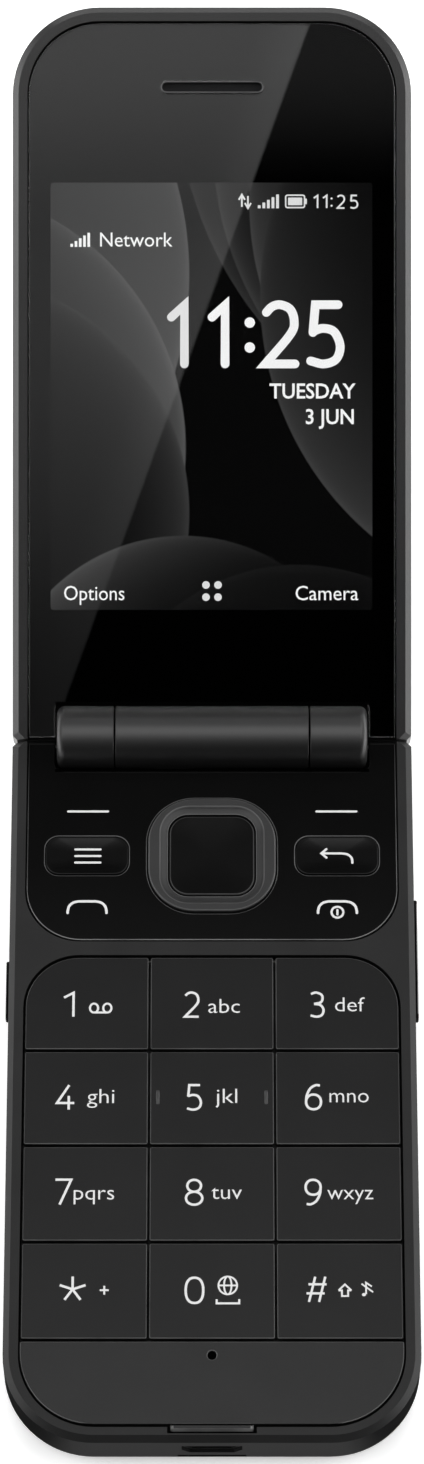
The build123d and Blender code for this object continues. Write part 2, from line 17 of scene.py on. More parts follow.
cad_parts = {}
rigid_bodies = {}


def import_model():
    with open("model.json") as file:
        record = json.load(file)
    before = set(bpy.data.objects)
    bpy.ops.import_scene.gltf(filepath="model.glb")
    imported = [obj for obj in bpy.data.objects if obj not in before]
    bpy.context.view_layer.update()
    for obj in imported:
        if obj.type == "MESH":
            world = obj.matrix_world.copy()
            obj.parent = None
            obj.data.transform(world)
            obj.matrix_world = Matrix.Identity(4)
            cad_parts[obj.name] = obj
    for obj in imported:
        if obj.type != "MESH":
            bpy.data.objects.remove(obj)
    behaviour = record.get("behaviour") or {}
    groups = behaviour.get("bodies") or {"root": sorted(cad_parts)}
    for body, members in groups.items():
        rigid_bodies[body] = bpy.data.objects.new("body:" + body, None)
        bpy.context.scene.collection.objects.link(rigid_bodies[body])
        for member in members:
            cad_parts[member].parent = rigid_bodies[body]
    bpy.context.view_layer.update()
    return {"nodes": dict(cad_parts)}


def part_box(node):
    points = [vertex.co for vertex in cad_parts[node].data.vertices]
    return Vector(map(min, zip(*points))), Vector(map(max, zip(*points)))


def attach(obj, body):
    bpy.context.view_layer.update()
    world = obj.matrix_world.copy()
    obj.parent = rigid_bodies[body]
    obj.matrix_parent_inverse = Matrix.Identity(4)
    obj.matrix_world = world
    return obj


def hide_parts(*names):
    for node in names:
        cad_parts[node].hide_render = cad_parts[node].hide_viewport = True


LOG = logging.getLogger("flip_phone")
# A millimetre in metres, a length too small to see, and the travel left under a key's walls, both in mm.
MM = 0.001
TINY = 1e-4
PRESS_ROOM = 0.32
# The notch for the hinge barrel in both front panels: half its width and the reach of its end, in mm.
NOTCH = (21.65, 4.7)
Colour = tuple[float, float, float]
Pair = tuple[float, float]
Faces = Sequence[Sequence[int]]


class Half(Enum):
    """The two halves of the phone. Each value is the body that carries the half."""

    BASE = "base"
    LID = "lid"


@dataclass(frozen=True)
class Layout:
    """Where the halves meet, in mm, and how steeply the lid rises behind the hinge."""

    axis_y: float = 50.4
    axis_z: float = 10.0
    slope: float = math.radians(24.5)

    def along(self, half: Half) -> np.ndarray:
        """The direction (y, z) that leads away from the hinge on a half.

        Args:
            half: The half.

        Returns:
            The unit vector.
        """
        if half is Half.BASE:
            return np.array([-1.0, 0.0])
        return np.array([math.cos(self.slope), math.sin(self.slope)])

    def down(self, half: Half) -> np.ndarray:
        """The direction (y, z) that leads from a half's front into the half.

        Args:
            half: The half.

        Returns:
            The unit vector.
        """
        if half is Half.BASE:
            return np.array([0.0, -1.0])
        return np.array([math.sin(self.slope), -math.cos(self.slope)])

    def place(self, half: Half, points: np.ndarray) -> np.ndarray:
        """Carries half-frame points to the shared frame.

        The place is the hinge axis, plus the reach times the direction along the half, plus the depth
        times the direction into it.

        Args:
            half: The half whose frame the points are in.
            points: Rows of x, reach and depth, in mm.

        Returns:
            Rows of x, y and z, in metres.
        """
        axis = np.array([self.axis_y, self.axis_z])
        side = axis + points[:, 1:2] * self.along(half) + points[:, 2:3] * self.down(half)
        return np.column_stack([points[:, 0], side]) * MM


LAYOUT = Layout()


def put(name: str, data: bpy.types.ID) -> bpy.types.Object:
    """Adds an object with its data to the scene.

    Args:
        name: The object's name.
        data: Its mesh, light or camera.

    Returns:
        The new object.
    """
    thing = bpy.data.objects.new(name, data)
    bpy.context.scene.collection.objects.link(thing)
    return thing


# ---------------------------------------------------------------- outlines and surfaces


@dataclass(frozen=True)
class Contour:
    """A closed outline, counter-clockwise: a polygon with a round of its own at each corner, in mm."""

    corners: tuple[Pair, ...]
    radii: tuple[float, ...]
    steps: int = 8

    def ring(self, inset: float = 0.0) -> np.ndarray:
        """The outline's points, moved inwards.

        Each corner moves along its mitre, the sum of its two edge normals over one plus their product.
        Its arc turns from the first normal by the angle between the edges, with a radius that shrinks by
        the inset at an outer corner and grows at an inner one.

        Args:
            inset: How far the outline moves inwards; negative moves it outwards.

        Returns:
            The points, an arc of steps + 1 points for each corner.
        """
        points = np.array(self.corners, float)
        before = points - np.roll(points, 1, 0)
        before /= np.linalg.norm(before, axis=1, keepdims=True)
        after = np.roll(before, -1, 0)
        normal = np.column_stack([-before[:, 1], before[:, 0]])
        next_normal = np.column_stack([-after[:, 1], after[:, 0]])
        mitre = (normal + next_normal) / (1 + (normal * next_normal).sum(1, keepdims=True))
        cross = before[:, 0] * after[:, 1] - before[:, 1] * after[:, 0]
        turn = np.arctan2(cross, (before * after).sum(1))
        side = np.sign(turn)
        radius = np.maximum(np.array(self.radii, float) - side * inset, TINY)
        centre = points + mitre * (inset + side * radius)[:, None]
        angle = turn[:, None] * np.linspace(0, 1, self.steps + 1)
        arm = -side[:, None] * normal * radius[:, None]
        x = arm[:, :1] * np.cos(angle) - arm[:, 1:] * np.sin(angle)
        y = arm[:, :1] * np.sin(angle) + arm[:, 1:] * np.cos(angle)
        return (centre[:, None] + np.stack([x, y], -1)).reshape(-1, 2)


def corners_of(x: Pair, y: Pair) -> tuple[Pair, ...]:
    """A rectangle's four corners, counter-clockwise."""
    return ((x[0], y[0]), (x[1], y[0]), (x[1], y[1]), (x[0], y[1]))


def rectangle(x: Pair, y: Pair, radii: float | tuple[float, ...], steps: int = 8) -> Contour:
    """A rectangle from its two spans, with one radius for all corners or one for each."""
    return Contour(corners_of(x, y), radii if isinstance(radii, tuple) else (radii,) * 4, steps)


def centred(centre: Pair, size: Pair, radius: float, steps: int = 8) -> Contour:
    """A rectangle about its centre."""
    x = (centre[0] - size[0] / 2, centre[0] + size[0] / 2)
    return rectangle(x, (centre[1] - size[1] / 2, centre[1] + size[1] / 2), radius, steps)


def circle(centre: Pair, radius: float, steps: int = 8) -> Contour:
    """A circle, as a square with fully rounded corners."""
    return centred(centre, (2 * radius, 2 * radius), radius - TINY, steps)


def quads(rings: int, size: int, wrap: bool = False) -> np.ndarray:
    """Faces between neighbouring rings: point j of ring i joins point j + 1 and the next ring's two.

    Args:
        rings: How many rings there are.
        size: How many points a ring has.
        wrap: Whether the last ring joins the first.

    Returns:
        Rows of four point numbers.
    """
    i = np.arange(rings if wrap else rings - 1)[:, None]
    j = np.arange(size)[None, :]
    here, there = i * size, (i + 1) % rings * size
    near, far = j + 0 * i, (j + 1) % size + 0 * i
    return np.stack([here + near, here + far, there + far, there + near], -1).reshape(-1, 4)


def volume(points: np.ndarray, faces: Faces) -> float:
    """The signed volume: a sixth of the triple products of each face's fan of triangles.

    Args:
        points: The points.
        faces: The point numbers of each face.

    Returns:
        The volume.
    """
    fans = [(f[0], f[k], f[k + 1]) for f in faces for k in range(1, len(f) - 1)]
    a, b, c = points[np.array(fans)].transpose(1, 0, 2)
    return float((a * np.cross(b, c)).sum() / 6)


@dataclass
class Soup:
    """A growing mesh in a half's frame: points, faces, and each point's edge value.

    The edge value is 1 for a painted highlight on a rounded edge, 0 on open surfaces and -1 for painted shade
    down a gap.
    """

    points: np.ndarray = field(default_factory=lambda: np.zeros((0, 3)))
    faces: Faces = field(default_factory=list)
    edge: np.ndarray = field(default_factory=lambda: np.zeros(0))

    def add(self, points: np.ndarray, faces: Faces, edge: np.ndarray | None = None) -> "Soup":
        """Adds one closed body, turned so that its faces point outwards.

        Args:
            points: Its points.
            faces: Its faces, as lists of indices into its own points.
            edge: The edge value of each point; 0 where not given.

        Returns:
            This soup, for the next call.
        """
        if volume(points - points.mean(0), faces) < 0:
            faces = [face[::-1] for face in faces]
        return self.join(Soup(points, faces, np.zeros(len(points)) if edge is None else edge))

    def join(self, other: "Soup") -> "Soup":
        """Adds another soup as it is.

        Args:
            other: The soup to add.

        Returns:
            This soup.
        """
        start = len(self.points)
        self.faces = [*self.faces, *([start + int(k) for k in face] for face in other.faces)]
        self.points = np.vstack([self.points, other.points])
        self.edge = np.concatenate([self.edge, other.edge])
        return self

    def fade(self, share: np.ndarray) -> "Soup":
        """Scales the painted highlight of the rounded edges by each point's share."""
        self.edge = np.where(self.edge > 0, self.edge * share, self.edge)
        return self

    def moved(self, matrix: np.ndarray, offset: Sequence[float] = (0, 0, 0)) -> "Soup":
        """A copy whose points are turned by a matrix and moved; a mirroring matrix turns the faces too."""
        faces = [face[::-1] for face in self.faces] if np.linalg.det(matrix) < 0 else self.faces
        return Soup(self.points @ matrix.T + np.array(offset, float), faces, self.edge.copy())


Profile = Sequence[Pair]


def quarter(steps: int) -> np.ndarray:
    """A quarter circle of radius 1: one minus the cosine and one minus the sine, from 0 to 90 degrees."""
    turn = np.linspace(0, math.pi / 2, steps + 1)
    return np.column_stack([1 - np.cos(turn), 1 - np.sin(turn)])


def rounded_edge(top: float, bottom: float, bevel: float) -> list[Pair]:
    """Pairs of inset and depth from the bottom up a wall and round a quarter circle to the flat top."""
    arc = (quarter(4) * bevel + np.array([0.0, top])).tolist()
    return [(0.0, bottom), (0.0, top + bevel + 0.04), *arc, (bevel + 0.03, top)]


def edge_values(profile: Profile) -> np.ndarray:
    """The edge value of each step of a profile, which sets its painted highlight or painted gap shade.

    A run's lean is the sine of twice its slope, so it peaks at 45 degrees. A step takes the larger lean of
    the runs beside it, and -1 where those runs are both walls.

    Args:
        profile: Pairs of inset and depth.

    Returns:
        One value for each pair.
    """
    runs = np.diff(np.array(profile, float), axis=0)
    lean = np.abs(np.sin(2 * np.arctan2(runs[:, 1], runs[:, 0])))
    lean[lean < 0.3] = 0.0
    wall = np.abs(runs[:, 0]) < TINY
    beside = [slice(max(0, k - 1), k + 1) for k in range(len(profile))]
    return np.array([-1.0 if wall[span].all() else lean[span].max() for span in beside])


def flat_cap(rings: Sequence[np.ndarray], upward: bool) -> np.ndarray:
    """Triangles that fill an outline around its holes, all turned the same way.

    Args:
        rings: The outline and its holes.
        upward: Whether the triangles turn to the left, seen from above.

    Returns:
        Rows of three point numbers, counted through all rings.
    """
    flat = [[Vector((x, y, 0)) for x, y in ring] for ring in rings]
    found = np.array(tessellate_polygon(flat))
    a, b, c = np.vstack(rings)[found].transpose(1, 0, 2)
    area = (b[:, 0] - a[:, 0]) * (c[:, 1] - a[:, 1]) - (b[:, 1] - a[:, 1]) * (c[:, 0] - a[:, 0])
    found = found[np.abs(area) > 1e-9]
    area = area[np.abs(area) > 1e-9]
    wrong = (area < 0) if upward else (area > 0)
    found[wrong] = found[wrong][:, ::-1]
    return found


def slab(outer: Contour, profile: Profile, holes: Sequence[Contour] = ()) -> Soup:
    """A panel with rounded edges.

    The surface is a function of the place along an outline and of the profile's step: the outline moved
    inwards by the step's inset, at the step's depth. Holes move outwards instead. Both ends are filled.

    Args:
        outer: The panel's outline.
        profile: Pairs of inset and depth, from the back of the panel to its front.
        holes: Outlines of its openings.

    Returns:
        The closed panel, as rows of x, reach and depth.
    """
    points, faces, edges = [], [], []
    painted_light = edge_values(profile)
    ends: list[list[np.ndarray]] = [[], []]
    spans = []
    count = 0
    for number, contour in enumerate((outer, *holes)):
        sign = 1.0 if number == 0 else -1.0
        rings = [contour.ring(sign * inset) for inset, _ in profile]
        size = len(rings[0])
        depth = np.repeat([d for _, d in profile], size)
        points.append(np.column_stack([np.vstack(rings), depth]))
        band = quads(len(rings), size) + count
        faces += (band if number == 0 else band[:, ::-1]).tolist()
        edges.append(np.repeat(painted_light, size))
        ends[0].append(rings[0])
        ends[1].append(rings[-1])
        spans.append((count, count + (len(rings) - 1) * size, size))
        count += len(rings) * size
    for end, upward in ((0, False), (1, True)):
        index = np.concatenate([np.arange(span[2]) + span[end] for span in spans])
        faces += index[flat_cap(ends[end], upward)].tolist()
    return Soup().add(np.vstack(points), faces, np.concatenate(edges))


@dataclass(frozen=True)
class Stage:
    """One outline of a body that is built outline by outline: its points, its depth and its edge value."""

    ring: np.ndarray
    depth: float
    edge: float = 0.0


def collar(stages: Sequence[Stage], closed: bool = True) -> Soup:
    """A body of neighbouring outlines: the last one joins the first, or both ends are filled.

    Args:
        stages: The outlines in order, with equally many points.
        closed: Whether the last outline joins the first.

    Returns:
        The soup of its faces.
    """
    size = len(stages[0].ring)
    points = np.vstack([np.column_stack([stage.ring, np.full(size, stage.depth)]) for stage in stages])
    walls = quads(len(stages), size, wrap=closed)
    caps: list[list[int]] = []
    if not closed:
        x, y = stages[0].ring.T
        if (x * np.roll(y, -1) - y * np.roll(x, -1)).sum() < 0:
            walls = walls[:, ::-1]
        far_cap = flat_cap([stages[-1].ring], True) + (len(stages) - 1) * size
        caps = flat_cap([stages[0].ring], False).tolist() + far_cap.tolist()
    return Soup().add(points, walls.tolist() + caps, np.repeat([stage.edge for stage in stages], size))


def staged(outline: Contour, profile: Profile) -> list[Stage]:
    """An outline at each step of a profile."""
    values = edge_values(profile)
    return [Stage(outline.ring(inset), depth, float(edge)) for (inset, depth), edge in zip(profile, values)]


def shrunk(stage: Stage, centre: Pair, drop: float, least: float = 0.04, count: int = 9) -> list[Stage]:
    """Outlines that carry a surface on to its middle.

    Each is the first outline scaled about the centre by its share, and the depth grows by the drop times
    one minus the share squared: a dish, or a dome where the drop is negative.

    Args:
        stage: The outline that the surface starts from.
        centre: The middle.
        drop: How much deeper the middle is.
        least: The share of the last outline.
        count: How many outlines follow.

    Returns:
        The outlines that follow the first.
    """
    middle = np.array(centre)
    arm = stage.ring - middle
    shares = np.linspace(1, least, count + 1)[1:]
    return [Stage(middle + arm * t, stage.depth + drop * (1 - float(t) ** 2)) for t in shares]


def turned(profile: Sequence[Pair], around: int = 96, closed: bool = True) -> Soup:
    """A body turned about the first axis: radius times cosine and sine of the angle, at the profile's place.

    Args:
        profile: Pairs of place along the axis and radius.
        around: Points round the axis.
        closed: True where the profile is a loop clear of the axis; otherwise its ends are filled.

    Returns:
        The body, with the axis along the first column.
    """
    angle = np.linspace(0, 2 * math.pi, around, endpoint=False)
    place = np.array(profile, float)
    radius = place[:, 1:2]
    grid = np.stack([place[:, :1] + 0 * angle, radius * np.cos(angle), radius * np.sin(angle)], -1)
    faces = quads(len(profile), around, wrap=closed).tolist()
    if not closed:
        faces += [list(range(around))[::-1], [(len(profile) - 1) * around + k for k in range(around)]]
    return Soup().add(grid.reshape(-1, 3), faces)


def band(outer: np.ndarray, inner: np.ndarray, low: float, high: float) -> Soup:
    """A closed strip between two outlines, from one depth to the other."""
    return collar([Stage(outer, low), Stage(outer, high), Stage(inner, high), Stage(inner, low)])


def notched(half_width: float, reach: Pair, corner: float) -> Contour:
    """A panel's outline with the notch for the hinge barrel in its near side.

    Args:
        half_width: Half the panel's width.
        reach: Where its near and its far side lie.
        corner: The radius of its far corners.

    Returns:
        The outline.
    """
    x, (near, far), (side, end) = half_width, reach, NOTCH
    left, right = ((-x, near), (-side, near), (-side, end)), ((side, end), (side, near), (x, near))
    corners = (*left, *right, (x, far), (-x, far))
    return Contour(corners, (0.2, 0.3, 1.0, 1.0, 0.3, 0.2, corner, corner), 14)


def hinge_notch_shade(top: float, bottom: float) -> Soup:
    """A strip of painted shade along a panel's notch for the hinge barrel, over the panel's own edge.

    Args:
        top: The panel's upper depth.
        bottom: Its lower depth.

    Returns:
        The soup of its faces.
    """
    side, end = NOTCH
    strip = rectangle((0.05 - side, side - 0.05), (end - 0.22, end + 0.25), 0.08, 3)
    return slab(strip, [(0.0, bottom), (0.0, top - 0.005)])


# ---------------------------------------------------------------- lines and figures


def spline(points: Sequence[Pair], per: int = 8) -> np.ndarray:
    """A smooth path through points: a cubic between neighbours, its end slopes half the chord across each.

    Args:
        points: The points in order.
        per: How many steps lie between neighbours.

    Returns:
        The points of the path.
    """
    p = np.array(points, float)
    if len(p) == 2:
        return p
    p = np.vstack([2 * p[0] - p[1], p, 2 * p[-1] - p[-2]])
    t = np.linspace(0, 1, per, endpoint=False)[None, :, None]
    a, b, c, d = p[:-3, None], p[1:-2, None], p[2:-1, None], p[3:, None]
    curve = b + 0.5 * t * (c - a + t * (2 * a - 5 * b + 4 * c - d + t * (3 * (b - c) + d - a)))
    return np.vstack([curve.reshape(-1, 2), p[-2]])


@dataclass(frozen=True)
class Line:
    """An open stroke: runs that share their ends. A run of two points is straight, a longer one smooth."""

    runs: tuple[tuple[Pair, ...], ...]

    def outlines(self, scale: Pair, width: float, rounded: bool) -> list[np.ndarray]:
        """The outline of the stroke, as one ring.

        Each side is the path moved by half the width along the mitre of its two neighbouring normals.
        A rounded end is a half circle from one side to the other.

        Args:
            scale: How far the unit square reaches, in mm.
            width: The stroke's width, in mm.
            rounded: Whether the ends are half circles.

        Returns:
            A list with the one ring.
        """
        parts = [spline(run) for run in self.runs]
        path = np.vstack([parts[0], *(part[1:] for part in parts[1:])]) * np.array(scale)
        step = np.diff(path, axis=0)
        step /= np.linalg.norm(step, axis=1, keepdims=True)
        normal = np.column_stack([-step[:, 1], step[:, 0]])
        first, last = np.vstack([normal[:1], normal]), np.vstack([normal, normal[-1:]])
        mitre = (first + last) / np.maximum(1 + (first * last).sum(1, keepdims=True), 0.35)
        left, right = path + mitre * width / 2, path - mitre * width / 2
        if not rounded:
            return [np.vstack([right, left[::-1]])]
        turn = np.linspace(0, math.pi, 8)[1:-1, None]
        head = path[-1] + width / 2 * (step[-1] * np.sin(turn) - normal[-1] * np.cos(turn))
        tail = path[0] + width / 2 * (normal[0] * np.cos(turn) - step[0] * np.sin(turn))
        return [np.vstack([right, head, left[::-1], tail])]


@dataclass(frozen=True)
class Loop:
    """A closed stroke: a superellipse, round at power 2 and squarer above."""

    centre: Pair
    radii: Pair
    power: float = 2.0
    steps: int = 40

    def outlines(self, scale: Pair, width: float, rounded: bool) -> list[np.ndarray]:
        """The outer and the inner ring: cosine and sine to 2 over the loop's power, times the radii.

        Args:
            scale: What the places are multiplied by.
            width: The stroke's width.
            rounded: Not used, since a loop has no ends.

        Returns:
            Both rings.
        """
        del rounded
        angle = np.linspace(0, 2 * math.pi, self.steps, endpoint=False)
        wave = np.column_stack([np.cos(angle), np.sin(angle)])
        shape = np.sign(wave) * np.abs(wave) ** (2 / self.power)
        centre, radii = np.array(self.centre) * np.array(scale), np.array(self.radii) * np.array(scale)
        return [centre + shape * (radii + width / 2), centre + shape * (radii - width / 2)]


Stroke = Line | Loop


@dataclass(frozen=True)
class Figure:
    """A sign drawn with strokes in a unit square; slim is its width over its height."""

    slim: float
    strokes: tuple[Stroke, ...]


def sign(slim: float, *strokes: Stroke) -> Figure:
    """A sign from its strokes."""
    return Figure(slim, strokes)


def line(*points: Pair) -> Line:
    """A stroke of straight runs."""
    return Line(tuple(zip(points[:-1], points[1:])))


def curve(*points: Pair) -> Line:
    """A stroke of one smooth run."""
    return Line((points,))


TWO_ARCH = ((0.03, 0.87), (0.22, 0.965), (0.5, 1.0), (0.84, 0.92), (0.97, 0.72), (0.84, 0.5), (0.0, 0.0))
BACK_TURN = ((0.66, 0.69), (0.84, 0.62), (0.96, 0.42), (1.0, 0.2))
CALL_LEFT = ((0.0, 0.16), (0.037, 0.58), (0.14, 0.887), (0.28, 1.0))
CALL_RIGHT = ((0.72, 1.0), (0.86, 0.887), (0.963, 0.58), (1.0, 0.16))
CALL_ENDS = ((0.0, 0.0), (0.0, 0.16)), ((1.0, 0.16), (1.0, 0.0))
STAR_TIPS = ((0.5, 1.0), (1.0, 0.63), (0.81, 0.0), (0.19, 0.0), (0.0, 0.63))

FIGURES: dict[str, Figure] = {
    "0": sign(0.66, Loop((0.5, 0.5), (0.5, 0.5), 2.35)),
    "1": sign(0.37, line((0.0, 0.79), (1.0, 0.99), (1.0, 0.0))),
    "2": sign(0.53, Line((TWO_ARCH, ((0.0, 0.0), (1.0, 0.0))))),
    "3": sign(
        0.5,
        curve((0.04, 0.94), (0.45, 1.0), (0.86, 0.9), (0.93, 0.74), (0.78, 0.59), (0.28, 0.53)),
        curve((0.28, 0.53), (0.76, 0.48), (1.0, 0.29), (0.88, 0.08), (0.5, 0.0), (0.0, 0.05)),
    ),
    "4": sign(0.66, line((0.7, 1.0), (0.0, 0.27), (1.0, 0.27)), line((0.68, 0.56), (0.68, 0.0))),
    "5": sign(
        0.53,
        line((0.93, 1.0), (0.16, 1.0), (0.08, 0.53)),
        curve((0.08, 0.55), (0.42, 0.6), (0.8, 0.54), (1.0, 0.3), (0.86, 0.08), (0.45, 0.0), (0.0, 0.05)),
    ),
    "6": sign(
        0.57,
        curve((0.94, 0.97), (0.64, 0.98), (0.28, 0.84), (0.05, 0.56), (0.0, 0.3)),
        Loop((0.5, 0.3), (0.5, 0.3), 2.15),
    ),
    "7": sign(0.6, line((0.0, 1.0), (1.0, 1.0), (0.28, 0.0))),
    "8": sign(0.62, Loop((0.5, 0.76), (0.42, 0.24)), Loop((0.5, 0.26), (0.5, 0.26))),
    "9": sign(
        0.57,
        curve((0.06, 0.03), (0.36, 0.02), (0.72, 0.16), (0.95, 0.44), (1.0, 0.7)),
        Loop((0.5, 0.7), (0.5, 0.3), 2.15),
    ),
    "star": sign(1.06, *(line((0.5, 0.45), tip) for tip in STAR_TIPS)),
    "hash": sign(
        0.76,
        line((0.12, 0.0), (0.44, 1.0)),
        line((0.62, 0.0), (0.94, 1.0)),
        line((0.1, 0.7), (1.0, 0.7)),
        line((0.0, 0.34), (0.9, 0.34)),
    ),
    "plus": sign(1.0, line((0.5, 0.0), (0.5, 1.0)), line((0.0, 0.5), (1.0, 0.5))),
    "reels": sign(
        2.25, Loop((0.19, 0.5), (0.19, 0.5)), Loop((0.81, 0.5), (0.19, 0.5)), line((0.19, 0.0), (0.81, 0.0))
    ),
    "globe": sign(
        1.0, Loop((0.5, 0.5), (0.5, 0.5)), Loop((0.5, 0.5), (0.2, 0.5)), line((0.02, 0.5), (0.98, 0.5))
    ),
    "space": sign(5.0, line((0.0, 1.0), (0.0, 0.0), (1.0, 0.0), (1.0, 1.0))),
    "shift": sign(
        1.0,
        line((0.0, 0.48), (0.5, 1.0), (1.0, 0.48)),
        line((0.0, 0.48), (0.26, 0.48), (0.26, 0.0), (0.74, 0.0), (0.74, 0.48), (1.0, 0.48)),
    ),
    "silent": sign(
        0.85,
        line((0.42, 0.16), (0.42, 1.0), (0.9, 0.72)),
        line((0.05, 0.92), (1.0, 0.3)),
        Loop((0.24, 0.12), (0.1, 0.06)),
    ),
    "menu": sign(2.0, *(line((0.0, level), (1.0, level)) for level in (1.0, 0.5, 0.0))),
    "back": sign(
        2.05,
        Line((((0.02, 0.69), (0.66, 0.69)), BACK_TURN, ((1.0, 0.2), (1.0, 0.0)))),
        line((0.16, 1.0), (0.0, 0.69), (0.16, 0.38)),
    ),
    "call": sign(3.0, Line((CALL_ENDS[0], CALL_LEFT, ((0.28, 1.0), (0.72, 1.0)), CALL_RIGHT, CALL_ENDS[1]))),
    "power": sign(1.0, Loop((0.5, 0.5), (0.5, 0.5)), line((0.5, 0.3), (0.5, 0.7))),
    "arrows": sign(
        1.0,
        line((0.0, 0.62), (0.25, 1.0), (0.5, 0.62)),
        line((0.25, 0.95), (0.25, 0.1)),
        line((0.5, 0.38), (0.75, 0.0), (1.0, 0.38)),
        line((0.75, 0.05), (0.75, 0.9)),
    ),
}


@dataclass(frozen=True)
class Mark:
    """One sign where it is printed: the place of its middle, its height and its stroke's width, in mm."""

    name: str
    x: float
    reach: float
    height: float = 3.83
    stroke: float = 0.33
    slim: float = 0.0


@dataclass(frozen=True)
class Print:
    """A printing plane: flat signs on a surface of one half, a hair proud of it.

    Signs are given with x to the right, and y up, in mm from the point (0, reach). Each further stroke of a
    sign lies the overlap higher, so that strokes may cross.
    """

    capital: ClassVar[float] = 0.69
    lettering_half_depth: ClassVar[float] = 0.004

    half: Half
    depth: float
    proud: float = 0.012
    sunk: float = 0.02
    overlap: float = 0.002

    def laid(self, outlines: Sequence[np.ndarray], centre: Pair) -> Soup:
        """One closed sign from its ring, or from an outer and an inner ring.

        Args:
            outlines: The rings, with y up.
            centre: The x and reach of the sign's origin.

        Returns:
            The sign in the half's frame.
        """
        up = -1.0 if self.half is Half.BASE else 1.0
        rings = [np.array(centre) + ring * np.array([1.0, up]) for ring in outlines]
        low, high = self.depth + self.sunk, self.depth - self.proud
        if len(rings) == 2:
            return band(*rings, low, high)
        return collar([Stage(rings[0], low), Stage(rings[0], high)], closed=False)

    def patch(self, centre: Pair, size: Pair, radius: float, steps: int) -> Soup:
        """A filled rectangle with rounded corners."""
        return self.laid([centred((0, 0), size, radius, steps).ring()], centre)

    def dots(self, centres: Iterable[Pair], radius: float, steps: int) -> Soup:
        """Filled discs, all of one size.

        Args:
            centres: Their middles.
            radius: Their radius.
            steps: How many steps a quarter of the rim has.

        Returns:
            The soup of its faces.
        """
        made = Soup()
        for centre in centres:
            made.join(self.patch(centre, (2 * radius, 2 * radius), radius - TINY, steps))
        return made

    def marks(self, marks: Iterable[Mark], origin: Pair = (0.0, 0.0), rounded: bool = False) -> Soup:
        """Signs of the figure table.

        Args:
            marks: What they are. A slim of 0 stands for the table's own.
            origin: The x and reach that their places count from.
            rounded: Whether their strokes end in half circles.

        Returns:
            The signs in the half's frame.
        """
        made = Soup()
        for mark in marks:
            figure = FIGURES[mark.name]
            tall = mark.height - mark.stroke
            scale = (tall * (mark.slim or figure.slim), tall)
            centre = (origin[0] + mark.x, origin[1] + mark.reach)
            for number, stroke in enumerate(figure.strokes):
                rings = [ring - np.array(scale) / 2 for ring in stroke.outlines(scale, mark.stroke, rounded)]
                lifted = replace(self, depth=self.depth - number * self.overlap)
                made.join(lifted.laid(rings, centre))
        return made

    def words(
        self,
        text: str,
        start: Pair,
        height: float,
        weight: float = 0.0,
        align: str = "LEFT",
        slim: float = 1.0,
    ) -> Soup:
        """Plain lettering.

        Args:
            text: What it says.
            start: The x of its aligned edge and the reach of its baseline.
            height: The height of its capitals, in mm.
            weight: How much each outline grows, in the lettering's own units.
            align: Which edge the start is: LEFT, CENTER or RIGHT.
            slim: How much narrower than drawn.

        Returns:
            The lettering in the half's frame.
        """
        data = bpy.data.curves.new("lettering", "FONT")
        data.body, data.align_x, data.offset = text, align, weight
        data.resolution_u, data.extrude = 3, self.lettering_half_depth
        holder = put("lettering", data)
        graph = bpy.context.evaluated_depsgraph_get()
        mesh = bpy.data.meshes.new_from_object(holder.evaluated_get(graph))
        points = np.zeros(len(mesh.vertices) * 3)
        mesh.vertices.foreach_get("co", points)
        points = points.reshape(-1, 3)
        faces = [list(p.vertices) for p in mesh.polygons]
        for block, item in ((bpy.data.objects, holder), (bpy.data.curves, data), (bpy.data.meshes, mesh)):
            block.remove(item)
        up = -1.0 if self.half is Half.BASE else 1.0
        grow = height / self.capital
        thick = (self.proud + self.sunk) / (2 * self.lettering_half_depth)
        turn = np.diag([grow * slim, grow * up, -thick])
        middle = self.depth + (self.sunk - self.proud) / 2
        return Soup().add(points @ turn.T + np.array([*start, middle]), faces)


# ---------------------------------------------------------------- finishes


class Wire:
    """A number that runs between nodes. Arithmetic on it adds Math nodes."""

    def __init__(self, tree: bpy.types.NodeTree, socket: bpy.types.NodeSocket) -> None:
        """Takes the tree and the socket that the wire starts from."""
        self.tree = tree
        self.socket = socket

    def math(self, operation: str, *others: "Wire | float", clamp: bool = False) -> "Wire":
        """Adds one Math node with this wire as its first input.

        Args:
            operation: The node's operation.
            *others: Its other inputs.
            clamp: Whether the result is kept between 0 and 1.

        Returns:
            The result.
        """
        node = self.tree.nodes.new("ShaderNodeMath")
        node.operation, node.use_clamp = operation, clamp
        for place, value in enumerate((self, *others)):
            lead(value, node.inputs[place])
        return Wire(self.tree, node.outputs[0])

    def __add__(self, other: "Wire | float") -> "Wire":
        """Sum."""
        return self.math("ADD", other)

    def __sub__(self, other: "Wire | float") -> "Wire":
        """Difference."""
        return self.math("SUBTRACT", other)

    def __mul__(self, other: "Wire | float") -> "Wire":
        """Product."""
        return self.math("MULTIPLY", other)

    def ramp(self, low: float, high: float) -> "Wire":
        """Rises smoothly from 0 at low to 1 at high, and falls where high is the lower.

        Args:
            low: Where the result is 0.
            high: Where it is 1.

        Returns:
            The result.
        """
        node = self.tree.nodes.new("ShaderNodeMapRange")
        node.interpolation_type = "SMOOTHSTEP"
        for name, value in (("Value", self), ("From Min", min(low, high)), ("From Max", max(low, high))):
            lead(value, node.inputs[name])
        lead(float(low > high), node.inputs["To Min"])
        lead(float(low < high), node.inputs["To Max"])
        return Wire(self.tree, node.outputs["Result"])


Value = Wire | float | Colour


def lead(value: Value, target: bpy.types.NodeSocket) -> None:
    """Links a wire to an input, or sets the input to a number or a colour.

    Args:
        value: The wire, number or colour.
        target: The input.
    """
    if isinstance(value, Wire):
        value.tree.links.new(value.socket, target)
    elif isinstance(value, tuple):
        target.default_value = (*value, 1.0) if target.type == "RGBA" else value
    else:
        target.default_value = float(value)


